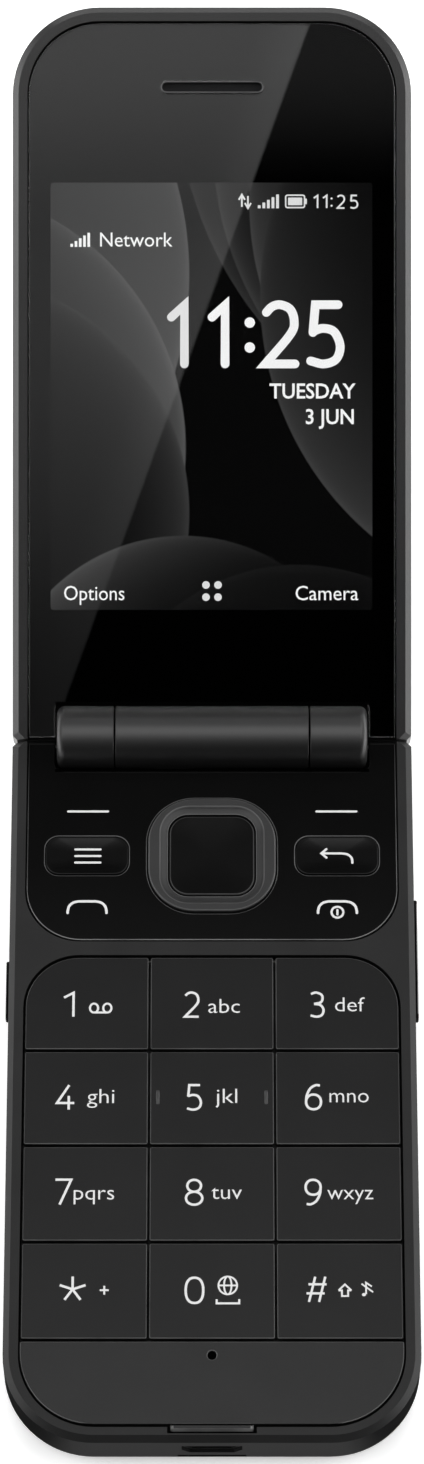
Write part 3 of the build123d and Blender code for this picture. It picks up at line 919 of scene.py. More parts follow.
class Bench:
    """The node tree of a new material or world, and short ways to fill it."""

    def __init__(self, owner: bpy.types.Material | bpy.types.World) -> None:
        """Empties the owner's tree.

        Args:
            owner: The material or world whose nodes are laid.
        """
        owner.use_nodes = True
        self.owner = owner
        self.tree = owner.node_tree
        self.tree.nodes.clear()

    def add(self, kind: str, *values: Value, **named: Value) -> bpy.types.Node:
        """Adds a node and leads values into its inputs; an underscore in a name stands for a space.

        Args:
            kind: The node's type, less the ShaderNode that every type begins with.
            *values: Its first inputs in order.
            **named: Inputs by name.

        Returns:
            The node.
        """
        node = self.tree.nodes.new(f"ShaderNode{kind}")
        for place, value in enumerate(values):
            lead(value, node.inputs[place])
        for name, value in named.items():
            lead(value, node.inputs[name.replace("_", " ")])
        return node

    def out(self, kind: str, *values: Value, output: int | str = 0, **named: Value) -> Wire:
        """Adds a node in the same way and gives the wire from one of its outputs."""
        return Wire(self.tree, self.add(kind, *values, **named).outputs[output])

    def split(self, vector: Wire) -> tuple[Wire, Wire, Wire]:
        """The x, y and z of a vector."""
        x, y, z = (Wire(self.tree, out) for out in self.add("SeparateXYZ", vector).outputs)
        return x, y, z

    def axes(self) -> tuple[Wire, Wire, Wire]:
        """The object's own x, y and z, in mm."""
        x, y, z = self.split(self.out("TexCoord", output="Object"))
        return x * (1 / MM), y * (1 / MM), z * (1 / MM)

    def noise(self, size_mm: float, detail: float = 3.0) -> Wire:
        """Noise over the object, from 0 to 1, with features of a size in mm."""
        place = self.out("TexCoord", output="Object")
        return self.out("TexNoise", Vector=place, Scale=1 / (size_mm * MM), Detail=detail)

    def edge(self) -> Wire:
        """Reads the value that a mesh holds at each point for painted gap shade and painted edge highlights.

        Returns:
            The value, from -1 for painted shade in a gap to 1 for a painted highlight on an edge.
        """
        node = self.add("Attribute")
        node.attribute_name = "edge"
        return Wire(self.tree, node.outputs["Fac"])

    def front_facing(self) -> Wire:
        """Falls from 1 to 0 where the surface turns towards the back, so that the painted edge highlight
        stays on edges facing the front.
        """
        return self.split(self.out("TexCoord", output="Normal"))[1].ramp(0.5, 0.1)

    def blend(self, factor: Wire, first: Value, second: Value) -> Wire:
        """A colour between two by a factor.

        Args:
            factor: 0 for the first, 1 for the second.
            first: A colour.
            second: Another.

        Returns:
            The mixed colour.
        """
        node = self.add("Mix")
        node.data_type = "RGBA"
        for name, value in (("Factor", factor), ("A", first), ("B", second)):
            lead(value, node.inputs[name])
        return Wire(self.tree, node.outputs["Result"])

    def bump(self, height: Wire, strength: float, reach_mm: float) -> Wire:
        """The normal of a surface that is raised by a height in the shading."""
        return self.out("Bump", Height=height, Strength=strength, Distance=reach_mm * MM)

    def finish(self, shader: Wire, kind: str = "OutputMaterial") -> bpy.types.Material | bpy.types.World:
        """Leads a shader to the tree's output and gives the owner back."""
        self.add(kind, shader)
        return self.owner

    def shaded(self, **values: Value) -> bpy.types.Material:
        """Ends the tree with a Principled shader of these values."""
        return self.finish(self.out("BsdfPrincipled", **values))


def new_bench(name: str) -> Bench:
    """The bench of a new material."""
    return Bench(bpy.data.materials.new(name))


@dataclass(frozen=True)
class Moulded:
    """Moulded or painted plastic, glass from outside, or metal.

    The tone wanders by the mottling between two noises, the gloss wanders with the finer one, the grain lifts
    the surface, front-facing rounded edges carry a painted highlight, and gap walls carry painted shade.
    """

    # The colour of painted shade down the walls of gaps.
    painted_shade_tone: ClassVar[Colour] = (0.0005, 0.0005, 0.0005)

    name: str
    tone: Colour
    roughness: float
    slot: str
    mottling: float = 0.15
    grain_mm: float = 0.12
    grain: float = 0.15
    gloss_spread: float = 0.06
    # How much lighter the front-facing rounded edges are: a painted highlight.
    painted_highlight: float = 0.0
    metal: float = 0.0
    coat: float = 0.0
    specular: float = 0.5

    def material(self) -> bpy.types.Material:
        """Builds the node material.

        Returns:
            The material.
        """
        bench = new_bench(self.name)
        fine, broad = bench.noise(self.grain_mm, 2.0), bench.noise(9.0, 3.0)
        dark, light = (tuple(c * (1 + sign * self.mottling) for c in self.tone) for sign in (-1, 1))
        colour = bench.blend((fine * 0.4 + broad * 0.6).ramp(0.3, 0.7), dark, light)
        edge = bench.edge()
        # Painted shade: edge values below 0 darken and dull the walls of gaps.
        gap = (edge * -1.0).math("MAXIMUM", 0.0)
        # Painted highlight: rounded edges that face the front are lighter.
        if self.painted_highlight:
            painted_light = edge.math("MAXIMUM", 0.0) * (broad.ramp(0.25, 0.6) * 0.5 + 0.5) * bench.front_facing()
            colour = bench.blend(painted_light, colour, tuple(min(1.0, c + self.painted_highlight) for c in self.tone))
        if not self.metal:
            colour = bench.blend(gap, colour, self.painted_shade_tone)
        gloss = fine * self.gloss_spread + (self.roughness - self.gloss_spread / 2)
        return bench.shaded(
            Base_Color=colour,
            Roughness=gloss.math("MAXIMUM", gap * 0.9),
            Normal=bench.bump(fine, self.grain, 0.02),
            Metallic=self.metal,
            Coat_Weight=self.coat,
            Specular_IOR_Level=self.specular,
        )


@dataclass(frozen=True)
class ClearGlass:
    """Clear cover glass with faint smears in its gloss."""

    name: str = "cover_glass_clear"
    slot: str = "lid_glass"

    def material(self) -> bpy.types.Material:
        """Builds the node material.

        Returns:
            The material.
        """
        bench = new_bench(self.name)
        smear = bench.noise(14.0, 4.0)
        tint = bench.blend(smear, (0.93, 0.94, 0.94), (0.97, 0.97, 0.97))
        return bench.shaded(Base_Color=tint, Roughness=smear * 0.008, Transmission_Weight=1.0, IOR=1.5)


@dataclass(frozen=True)
class Fold:
    """One soft fold of the picture: a disc lit along its rim, in mm on the display."""

    centre: Pair
    radius: float
    light: float
    fade: float
    aim: Pair
    narrow: float = 1.0


@dataclass(frozen=True)
class Picture:
    """The lit display: dark discs, one over the other.

    Inside a disc the light falls from the rim by an exponential of the way in, over the fade. It also
    falls with the angle away from the aim, by a power of the cosine that the narrow value gives.
    """

    name: str = "display_lit"
    slot: str = "display"
    ground: float = 0.0015
    folds: tuple[Fold, ...] = (
        Fold((-50.0, 64.0), 47.0, 0.062, 40.0, (1.0, -0.3), 0.6),
        Fold((47.0, 90.0), 52.0, 0.020, 6.0, (-1.0, -0.9), 1.0),
        Fold((46.0, 82.0), 46.0, 0.030, 4.0, (-1.0, -0.9), 1.0),
        Fold((48.0, 74.0), 43.0, 0.050, 9.0, (-0.8, -1.0), 1.0),
        Fold((50.0, 61.0), 43.5, 0.036, 10.0, (-0.8, -1.0), 1.0),
        Fold((-40.0, 40.0), 36.5, 0.068, 12.0, (1.0, 0.3), 1.0),
        Fold((-36.0, 31.0), 33.0, 0.034, 5.0, (1.0, 0.6), 1.2),
        Fold((-4.0, 2.0), 26.0, 0.048, 5.0, (-0.8, 1.0), 2.5),
        Fold((12.0, -4.0), 28.0, 0.006, 6.0, (-0.5, 1.0), 1.5),
    )

    def material(self) -> bpy.types.Material:
        """Builds the node material from the places across and along the lid.

        Returns:
            The material.
        """
        bench = new_bench(self.name)
        across, y, z = bench.axes()
        along = LAYOUT.along(Half.LID)
        reach = (y - LAYOUT.axis_y) * float(along[0]) + (z - LAYOUT.axis_z) * float(along[1])
        light: Wire | float = self.ground
        for fold in self.folds:
            right, up = across - fold.centre[0], reach - fold.centre[1]
            far = (right * right + up * up).math("SQRT")
            inside = far * -1.0 + fold.radius
            mask = inside.ramp(0.0, 0.3)
            inside = inside.math("MAXIMUM", 0.0)
            length = math.hypot(*fold.aim)
            facing = (right * (fold.aim[0] / length) + up * (fold.aim[1] / length)).math("DIVIDE", far)
            facing = facing.math("MAXIMUM", 0.02).math("POWER", fold.narrow)
            rim = (inside * -1.6).math("EXPONENT") * 0.7 + 1.0
            tone = (inside * (-1 / fold.fade)).math("EXPONENT") * rim * facing * fold.light + self.ground
            light = (mask * -1.0 + 1.0) * light + mask * tone
        return bench.shaded(
            Base_Color=(0.002, 0.002, 0.002),
            Roughness=bench.noise(0.3) * 0.1 + 0.35,
            Specular_IOR_Level=0.0,
            Emission_Color=bench.out("CombineColor", light, light, light),
            Emission_Strength=1.0,
        )


@dataclass(frozen=True)
class Lit:
    """White marks of the lit display."""

    name: str
    light: float
    slot: str = "display"

    def material(self) -> bpy.types.Material:
        """Builds the node material; the light wanders a hair, as a backlight does.

        Returns:
            The material.
        """
        bench = new_bench(self.name)
        glow = bench.noise(6.0)
        return bench.shaded(
            Base_Color=(0.02, 0.02, 0.02),
            Roughness=glow * 0.1 + 0.4,
            Emission_Color=bench.blend(glow, (self.light * 0.96,) * 3, (self.light,) * 3),
            Emission_Strength=1.0,
        )


@dataclass(frozen=True)
class Mesh:
    """Woven steel mesh: two crossed waves in tone and height."""

    name: str = "woven_mesh"
    slot: str = "mesh"
    pitch_mm: float = 0.22

    def material(self) -> bpy.types.Material:
        """Builds the node material.

        Returns:
            The material.
        """
        bench = new_bench(self.name)
        across, y, z = bench.axes()
        turn = 2 * math.pi / self.pitch_mm
        weave = (across * turn).math("SINE") * ((y + z) * turn).math("SINE")
        hole = weave.math("ABSOLUTE").ramp(0.25, 0.7)
        return bench.shaded(
            Base_Color=bench.blend(hole, (0.03, 0.03, 0.032), (0.002, 0.002, 0.002)),
            Roughness=hole * 0.4 + 0.35,
            Normal=bench.bump(hole * -1.0, 0.8, 0.08),
            Metallic=0.6,
        )


def grey(level: float, blue: float = 0.0) -> Colour:
    """A grey, with a little more blue where wanted."""
    return (level, level, level + blue)


class Finishes:
    """Every finish of the phone, each made once."""

    HOUSING = Moulded(
        "housing_satin", grey(0.0115, 1e-4), 0.36, "housing", grain=0.2, painted_highlight=0.02, specular=0.22
    )
    LID_HOUSING = Moulded("lid_housing_satin", grey(0.009, 1e-4), 0.26, "housing", grain=0.2, painted_highlight=0.02)
    BARREL = Moulded("barrel_satin", grey(0.003, 1e-4), 0.4, "housing", grain=0.12, painted_highlight=0.12, specular=0.95)
    KEY = Moulded("key_matt", grey(0.0045, 1e-4), 0.24, "key_plastic", grain=0.2, painted_highlight=0.09, specular=0.34)
    CHIN = Moulded("chin_matt", grey(0.008, 1e-4), 0.26, "key_plastic", grain=0.2, painted_highlight=0.1, specular=0.4)
    PANEL = Moulded("panel_gloss", grey(0.0015), 0.1, "gloss_black", grain=0.02, gloss_spread=0.03, painted_highlight=0.2)
    PILL = Moulded(
        "flat_key_gloss", grey(0.0015), 0.14, "gloss_black", grain=0.02, gloss_spread=0.04, specular=0.4
    )
    RING = Moulded("ring_satin", grey(0.0135, 3e-4), 0.34, "key_plastic", grain=0.12, painted_highlight=0.05)
    SELECT = Moulded("select_gloss", grey(0.002), 0.16, "gloss_black", grain=0.02, painted_highlight=0.04, specular=0.3)
    SIDE_KEY = Moulded(
        "side_key_satin", grey(0.003), 0.4, "key_plastic", grain=0.15, painted_highlight=0.025, specular=0.1
    )
    # The volume rocker's bevel carries a strong painted highlight for its brightly lit edge on the right
    # wall.
    ROCKER = Moulded("rocker_satin", grey(0.003), 0.4, "key_plastic", grain=0.15, painted_highlight=0.5, specular=0.1)
    LEGEND = Moulded("legend_white", grey(0.57), 0.5, "key_plastic", mottling=0.02, grain=0.05)
    PRINT_BLACK = Moulded("glass_print_black", grey(0.0012), 0.5, "gloss_black", grain=0.02, specular=0.0)
    WINDOW = Moulded(
        "outer_window_gloss", grey(0.003, 5e-4), 0.05, "gloss_black", grain=0.01, gloss_spread=0.02
    )
    LENS = Moulded(
        "lens_glass", grey(0.004, 0.004), 0.03, "gloss_black", grain=0.0, gloss_spread=0.02, coat=1.0
    )
    TRIM = Moulded("dark_trim", grey(0.05, 0.002), 0.3, "steel", metal=0.7, grain=0.08, painted_highlight=0.08)
    STEEL = Moulded("steel", grey(0.55, 0.01), 0.3, "steel", metal=1.0, grain=0.1)
    INNER = Moulded("inner_plastic", grey(0.025, 0.002), 0.6, "inner_plastic", grain=0.3)
    SILICONE = Moulded("silicone_dark", grey(0.006), 0.7, "silicone", grain=0.2)
    BOARD = Moulded("board_green", (0.01, 0.06, 0.03), 0.35, "board", grain_mm=0.6, grain=0.4, mottling=0.4)
    DOME = Moulded("dome_film", grey(0.5, -0.03), 0.3, "dome_film", grain=0.1)
    LABEL = Moulded("battery_label", (0.35, 0.36, 0.37), 0.45, "battery_label", grain=0.08)
    # Pure black with no gloss: painted shade, for strips and plugs put where gaps and holes lie in shade.
    PAINTED_SHADE = Moulded("gap_black", grey(0.001), 0.8, "black_part", specular=0.0)
    BLACK = Moulded("part_black", grey(0.012), 0.45, "black_part", grain=0.2)
    MAGNET = Moulded("magnet_nickel", grey(0.45, 0.01), 0.35, "magnet", metal=1.0, grain=0.15)
    # Steel darkened far below STEEL: painted shade for the socket's interior.
    SOCKET = Moulded("socket_dark_steel", grey(0.02), 0.4, "steel", metal=0.5, grain=0.1)
    FLEX = Moulded("flex_film", (0.012, 0.009, 0.007), 0.4, "flex", grain_mm=0.4, grain=0.1)
    LAMP = Moulded("lamp_lens", (0.75, 0.72, 0.6), 0.2, "lamp", grain_mm=0.3, grain=0.5)
    GLASS = ClearGlass()
    PICTURE = Picture()
    LIT = Lit("marks_lit", 1.0)
    LIT_DIM = Lit("marks_lit_dim", 0.8)
    MESH = Mesh()

    def __init__(self) -> None:
        """Starts with no material made."""
        self.made: dict[str, bpy.types.Material] = {}

    def of(self, finish: "Finish") -> bpy.types.Material:
        """The material of a finish, made on first use.

        Args:
            finish: The finish.

        Returns:
            The material.
        """
        if finish.name not in self.made:
            self.made[finish.name] = finish.material()
        return self.made[finish.name]


Finish = Moulded | ClearGlass | Picture | Lit | Mesh


# ---------------------------------------------------------------- the workshop


@dataclass
class Workshop:
    """Turns soups and CAD nodes into finished pieces that ride on their bodies."""

    nodes: dict[str, bpy.types.Object]
    finishes: Finishes = field(default_factory=Finishes)
    pieces: int = 0
    crease: float = 35.0
    solid_crease: float = 30.0
    merge_mm: float = 0.002
    flat_angle: float = 0.5
    recess_corner: float = 10.1
    recess_start: float = -4.2
    recess_depth: Pair = (0.3, 3.2)

    def span(self, node: str) -> tuple[np.ndarray, np.ndarray]:
        """A CAD node's lowest and highest corner, in mm."""
        low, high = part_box(node)
        return np.array(low) / MM, np.array(high) / MM

    def finish_piece(
        self,
        name: str,
        mesh: bpy.types.Mesh,
        body: str,
        finish: Finish,
        replaces: Sequence[str],
        sharp: float,
        bevel: float = 0.0,
    ) -> None:
        """Makes an object of a mesh, with its shading, its finish, its body and the nodes it stands for.

        Args:
            name: The piece's name.
            mesh: Its mesh in the shared frame.
            body: The body it rides on.
            finish: Its finish.
            replaces: The CAD nodes it stands for.
            sharp: The angle in degrees above which an edge stays crisp.
            bevel: How wide its crisp edges are broken, in mm.
        """
        mesh.shade_smooth()
        mesh.set_sharp_from_angle(angle=math.radians(sharp))
        mesh.materials.clear()
        mesh.materials.append(self.finishes.of(finish))
        thing = put(name, mesh)
        if bevel:
            soften = thing.modifiers.new("broken_edges", "BEVEL")
            soften.width, soften.segments = bevel * MM, 2
            soften.limit_method, soften.angle_limit = "ANGLE", math.radians(sharp)
            soften.harden_normals = False
        thing.modifiers.new("even_shading", "WEIGHTED_NORMAL").keep_sharp = True
        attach(thing, body)
        if replaces:
            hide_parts(*replaces)
        self.pieces += 1
        LOG.info("%s rides on %s", name, body)

    def piece(
        self,
        name: str,
        soup: Soup,
        half: Half,
        finish: Finish,
        body: str = "",
        replaces: Sequence[str] = (),
    ) -> None:
        """Makes a mesh piece from a soup.

        Args:
            name: The piece's name.
            soup: Its shape in the half's frame, in mm.
            half: The half that the frame belongs to.
            finish: Its finish.
            body: The body it rides on; the half's own where empty.
            replaces: The CAD nodes it stands for.
        """
        mesh = bpy.data.meshes.new(name)
        faces = soup.faces if half is Half.BASE else [face[::-1] for face in soup.faces]
        mesh.from_pydata(LAYOUT.place(half, soup.points), [], faces)
        # The edge values go on as an attribute that the finishes turn into painted highlight and painted gap
        # shade.
        mesh.attributes.new("edge", "FLOAT", "POINT").data.foreach_set("value", soup.edge.astype(np.float32))
        self.finish_piece(name, mesh, body or half.value, finish, replaces, self.crease)

    def paint_recess_shade(self, mesh: bpy.types.Mesh, half: Half, recess: Pair) -> None:
        """Gives the faces of a half's recess the edge value of a gap, so that they carry painted shade.

        They are the faces whose middle lies inside the recess's rounded outline, and below the rim but not
        deep inside.

        Args:
            mesh: A mesh in the shared frame.
            half: The half that it belongs to.
            recess: Half the recess's width and the reach of its end, in mm.
        """
        middles = np.zeros(len(mesh.polygons) * 3)
        mesh.polygons.foreach_get("center", middles)
        middles = middles.reshape(-1, 3) / MM
        side = middles[:, 1:] - np.array([LAYOUT.axis_y, LAYOUT.axis_z])
        reach, depth = side @ LAYOUT.along(half), side @ LAYOUT.down(half)
        across = np.maximum(np.abs(middles[:, 0]) - (recess[0] - self.recess_corner), 0)
        past = np.maximum(reach - (recess[1] - self.recess_corner), 0)
        within = (np.hypot(across, past) < self.recess_corner) & (reach > self.recess_start)
        inside = within & (depth > self.recess_depth[0]) & (depth < self.recess_depth[1])
        mesh.attributes.new("edge", "FLOAT", "FACE").data.foreach_set("value", -inside.astype(np.float32))

    def refined(
        self, node: str, half: Half, finish: Finish, bevel: float = 0.05, recess: Pair | None = None
    ) -> None:
        """Makes a merged copy of a CAD node with smooth rounds and lightly broken edges.

        Args:
            node: The CAD node, which the copy stands for.
            half: The half that it belongs to.
            finish: Its finish.
            bevel: How wide its crisp edges are broken, in mm.
            recess: Half the width and the end of a recess whose walls get painted shade, if any.
        """
        mesh = self.nodes[node].data.copy()
        mesh.name = f"{node}_fine"
        shape = bmesh.new()
        shape.from_mesh(mesh)
        verts, edges, flat = shape.verts, shape.edges, math.radians(self.flat_angle)
        bmesh.ops.remove_doubles(shape, verts=verts, dist=self.merge_mm * MM)
        bmesh.ops.dissolve_limit(shape, angle_limit=flat, verts=verts, edges=edges)
        shape.to_mesh(mesh)
        shape.free()
        if recess:
            self.paint_recess_shade(mesh, half, recess)
        self.finish_piece(f"{node}_fine", mesh, half.value, finish, [node], self.solid_crease, bevel)

    def dress(self, finish: Finish, *nodes: str) -> None:
        """Gives CAD nodes that keep their own shape a finish.

        Args:
            finish: The finish.
            *nodes: The nodes' names.
        """
        for node in nodes:
            thing = self.nodes[node]
            thing.data.materials.clear()
            thing.data.materials.append(self.finishes.of(finish))
            LOG.info("%s keeps its solid", node)


# ---------------------------------------------------------------- the lid


@dataclass
class Lid:
    """The upper half: frame, shell, glass, display and what shows through the shell."""

    glass_width: float = 50.54
    glass_end: float = 98.6
    glass_near: float = 0.05
    glass_corner: float = 9.9
    glass_top: float = 0.45
    glass_bottom: float = 1.39
    gap_shade_width: float = 0.14
    gap_shade_top: float = 0.62
    glass_bevel: float = 0.14
    recess: Pair = (25.6, 98.9)
    slot_size: Pair = (14.2, 1.65)
    slot_reach: float = 89.75
    view: tuple[Pair, Pair] = ((-22.18, 22.03), (17.75, 76.52))
    print_depth: Pair = (1.4, 1.445)
    window_reach: float = 56.0
    window: float = 31.9
    window_corner: float = 4.95
    window_front: float = 7.8
    lens: Pair = (-5.0, 84.0)
    lens_radius: float = 3.4
    lens_dome: Pair = (8.35, 0.35)
    lamp: Pair = (5.0, 84.0)
    lamp_radius: float = 1.6
    back: float = 8.7
    trim_thickness: float = 1.1

    def build(self, shop: Workshop) -> None:
        """Makes the lid's pieces.

        Args:
            shop: The workshop that adds the pieces.
        """
        # The frame's recess walls get painted shade.
        shop.refined("lid_frame", Half.LID, Finishes.LID_HOUSING, recess=self.recess)
        shop.refined("lid_cover", Half.LID, Finishes.LID_HOUSING)
        panel = notched(self.glass_width / 2, (self.glass_near, self.glass_end), self.glass_corner)
        slot = centred((0, self.slot_reach), self.slot_size, self.slot_size[1] / 2 - TINY, 12)
        shape = slab(panel, rounded_edge(self.glass_top, self.glass_bottom, self.glass_bevel), [slot])
        shop.piece("lid_glass_clear", shape, Half.LID, Finishes.GLASS, replaces=["lid_glass"])
        top, bottom = self.print_depth
        shape = slab(panel, [(0.1, bottom), (0.1, top)], [rectangle(*self.view, 0.3), slot])
        shop.piece("glass_print", shape, Half.LID, Finishes.PRINT_BLACK)
        # A black band of painted shade fills the gap round the glass, and a strip of it runs along the hinge
        # notch.
        shape = band(panel.ring(-self.gap_shade_width), panel.ring(-0.005), bottom, self.gap_shade_top)
        shape.join(hinge_notch_shade(self.glass_top, bottom))
        shop.piece("glass_seal", shape, Half.LID, Finishes.PAINTED_SHADE)
        self.earpiece(shop, slot)
        self.back_side(shop)
        shop.dress(Finishes.BOARD, "lid_board")
        shop.dress(Finishes.BLACK, "earpiece", "outer_display")
        shop.dress(Finishes.MAGNET, "lid_magnet")
        shop.dress(Finishes.STEEL, "lid_screws")
        shop.dress(Finishes.FLEX, "lid_flex")

    def earpiece(self, shop: Workshop, slot: Contour) -> None:
        """The rim and the woven mesh of the earpiece slot.

        Args:
            shop: The workshop that adds the pieces.
            slot: The slot's outline.
        """
        rim = [(0.02, 1.2), (0.02, 0.42), (0.06, 0.38), (0.16, 0.38), (0.22, 0.46), (0.22, 1.2)]
        shop.piece("earpiece_rim", collar(staged(slot, rim)), Half.LID, Finishes.TRIM)
        mesh = slab(slot, [(0.05, 1.44), (0.05, 1.2)])
        shop.piece("earpiece_mesh_fine", mesh, Half.LID, Finishes.MESH, replaces=["earpiece_mesh"])

    def facing_back(self, profile: Sequence[Pair], centre: Pair, closed: bool = False) -> Soup:
        """A turned body on the back of the lid; the profile gives depth and radius."""
        turn = np.array([[0.0, 1.0, 0.0], [0.0, 0.0, 1.0], [1.0, 0.0, 0.0]])
        return turned(profile, 64, closed).moved(turn, (*centre, 0.0))

    def back_side(self, shop: Workshop) -> None:
        """The outer window, the camera and the flash light.

        Args:
            shop: The workshop that adds the pieces.
        """
        outline = centred((0, self.window_reach), (self.window, self.window), self.window_corner, 12)
        front, back = self.window_front, self.back
        levels = [(inset, back + front - depth) for inset, depth in rounded_edge(front, back, 0.25)]
        shape = slab(outline, levels)
        shop.piece("outer_window_glass", shape, Half.LID, Finishes.WINDOW, replaces=["outer_window"])
        outer, inner = self.lens_radius - 0.03, self.lens_radius - self.trim_thickness
        rim = [(7.5, outer), (back + 0.1, outer), (back + 0.18, outer - 0.09), (back + 0.18, inner + 0.5)]
        shape = self.facing_back([*rim, (back - 0.25, inner), (7.5, inner)], self.lens, True)
        shop.piece("camera_barrel", shape, Half.LID, Finishes.TRIM, replaces=["camera_module"])
        (tip, bulge), edge = self.lens_dome, inner - 0.02
        dome = [(tip - bulge * low, edge * (1 - inward)) for inward, low in quarter(7)[:-1].tolist()]
        shape = self.facing_back([(7.6, edge), *dome, (tip, 0.02)], self.lens)
        shop.piece("camera_lens", shape, Half.LID, Finishes.LENS)
        side = self.lamp_radius - 0.03
        face = [(7.0, side), (back - 0.08, side), (back - 0.02, side - 0.07), (back - 0.02, 0.02)]
        shape = self.facing_back(face, self.lamp)
        shop.piece("flash_lens", shape, Half.LID, Finishes.LAMP, replaces=["flash_led"])


@dataclass
class Display:
    """The main display: its lit picture and the marks of an idle screen. Places are in mm on the lid."""

    depth: float = 1.45
    back_depth: float = 3.4
    across: Pair = (-23.4, 23.4)
    along: Pair = (13.6, 79.0)
    status_reach: float = 74.03
    small_time: tuple[Mark, ...] = (
        Mark("1", 14.31, 73.98, 1.98, 0.24, 0.3),
        Mark("1", 15.57, 73.98, 1.98, 0.24, 0.3),
        Mark("2", 17.8, 73.98, 1.98, 0.24, 0.56),
        Mark("5", 19.59, 73.98, 1.98, 0.24, 0.56),
    )
    clock: tuple[Mark, ...] = (
        Mark("1", -4.71, 55.68, 9.37, 1.2, 0.22),
        Mark("1", 0.9, 55.68, 9.37, 1.2, 0.22),
        Mark("2", 9.42, 55.68, 9.37, 1.2, 0.5),
        Mark("5", 15.65, 55.68, 9.37, 1.2, 0.5),
    )
    clock_dots: tuple[Pair, ...] = ((5.21, 53.86), (5.21, 57.3))
    menu_dots: tuple[Pair, ...] = ((-0.83, 19.4), (-0.83, 21.08), (0.83, 19.4), (0.83, 21.08))

    def build(self, shop: Workshop) -> None:
        """Makes the picture and its marks.

        Args:
            shop: The workshop that adds the pieces.
        """
        outline = rectangle(self.across, self.along, 0.3)
        shape = slab(outline, [(0.0, self.back_depth), (0.0, self.depth)])
        shop.piece("display_picture", shape, Half.LID, Finishes.PICTURE, replaces=["main_display"])
        press = Print(Half.LID, self.depth - 0.01, proud=0.005, sunk=0.005)
        marks = self.network(press).join(self.labels(press)).join(press.marks(self.clock[1:], rounded=True))
        marks.join(press.dots(self.clock_dots, 0.72, 6))
        shop.piece("display_marks", marks, Half.LID, Finishes.LIT)
        faint = self.status(press).join(press.dots(self.menu_dots, 0.53, 5))
        faint.join(press.marks(self.clock[:1], rounded=True))
        shop.piece("display_marks_faint", faint, Half.LID, Finishes.LIT_DIM)

    def bars(self, press: Print, left: float, low: float, size: Pair) -> Soup:
        """Five rising bars: bar k stands at k steps, with a height of its share of the whole.

        Args:
            press: The print on the display.
            left: Where the first bar begins.
            low: Where all bars stand.
            size: The width and the height of the whole.

        Returns:
            The soup of its faces.
        """
        made = Soup()
        step, height = size[0] / 4.6, size[1]
        for k in range(5):
            tall = height * (0.22 + 0.195 * k)
            centre = (left + step * (k + 0.3), low + tall / 2)
            made.join(press.patch(centre, (step * 0.62, tall), 0.02, 1))
        return made

    def status(self, press: Print) -> Soup:
        """The top row: data arrows, bars, battery and small time.

        Args:
            press: The print on the display.

        Returns:
            The soup of its faces.
        """
        reach = self.status_reach
        made = press.marks([Mark("arrows", 4.54, reach, 2.1, 0.24, 0.9)])
        made.join(self.bars(press, 6.33, reach - 0.95, (2.9, 1.9)))
        case = centred((0, 0), (2.8, 1.9), 0.35, 4)
        made.join(press.laid([case.ring(), case.ring(0.2)], (11.47, reach)))
        made.join(press.patch((11.47, reach), (1.95, 1.05), 0.05, 2))
        made.join(press.patch((12.98, reach), (0.22, 0.8), 0.08, 2))
        made.join(press.marks(self.small_time))
        return made.join(press.dots([(16.5, reach - 0.6), (16.5, reach + 0.4)], 0.15, 3))

    def network(self, press: Print) -> Soup:
        """The second row: bars and the network's name."""
        made = self.bars(press, -19.54, 67.75, (2.7, 1.95))
        return made.join(press.words("Network", (-15.65, 67.8), 1.95, 0.0, slim=0.96))

    def labels(self, press: Print) -> Soup:
        """The date and the two soft-key words.

        Args:
            press: The print on the display.

        Returns:
            The soup of its faces.
        """
        made = press.words("TUESDAY", (19.74, 46.86), 2.02, 0.014, "RIGHT", 0.94)
        made.join(press.words("3 JUN", (19.74, 43.32), 2.02, 0.014, "RIGHT", 0.94))
        made.join(press.words("Options", (-20.54, 18.99), 1.98, 0.0, slim=0.9))
        return made.join(press.words("Camera", (20.24, 18.99), 1.98, 0.0, "RIGHT", 0.96))


# ---------------------------------------------------------------- the hinge


@dataclass
class Barrel:
    """The three lengths of the hinge barrel, as sleeves a hair larger than the solids."""

    radius: float = 4.37
    inner: float = 3.2
    centre_end: float = 13.27
    knuckle: Pair = (13.48, 21.32)
    end_turn: float = 1.1
    edge: float = 0.12
    bush: Pair = (12.9, 14.0)
    bush_radii: Pair = (3.3, 4.0)

    def sleeve(self, start: float, end: float, end_turn: float) -> Soup:
        """A tube about the hinge axis; its far end is rounded by a quarter circle of the given radius.

        Args:
            start: Where the tube begins, across the phone.
            end: Where it ends.
            end_turn: The radius of the rounded end.

        Returns:
            The soup of its faces.
        """
        bend = quarter(6)[:, ::-1]
        near = np.array([start, self.radius]) + bend[::-1] * np.array([self.edge, -self.edge])
        far = np.array([end, self.radius]) - bend * end_turn
        return turned([(start, self.inner), *near, *far, (end, self.inner)], 128)

    def build(self, shop: Workshop) -> None:
        """Makes the centre sleeve on the base and the two knuckles on the lid.

        Args:
            shop: The workshop that adds the pieces.
        """
        centre = self.sleeve(-self.centre_end, self.centre_end, self.edge)
        shop.piece("barrel_centre", centre, Half.BASE, Finishes.BARREL)
        right = self.sleeve(*self.knuckle, self.end_turn)
        mirror = np.diag([-1.0, 1.0, 1.0])
        shop.piece("knuckle_right", right, Half.LID, Finishes.BARREL)
        shop.piece("knuckle_left", right.moved(mirror), Half.LID, Finishes.BARREL)
        # Bushes in pure black without gloss: painted shade filling the gaps between the barrel's lengths.
        (start, end), (inner, outer) = self.bush, self.bush_radii
        bush = turned([(start, inner), (start, outer), (end, outer), (end, inner)])
        shop.piece("barrel_bushes", Soup().join(bush).join(bush.moved(mirror)), Half.BASE, Finishes.PAINTED_SHADE)
        shop.dress(Finishes.STEEL, "hinge_module", "hinge_pin")
        shop.dress(Finishes.FLEX, "hinge_flex")


# ---------------------------------------------------------------- the base


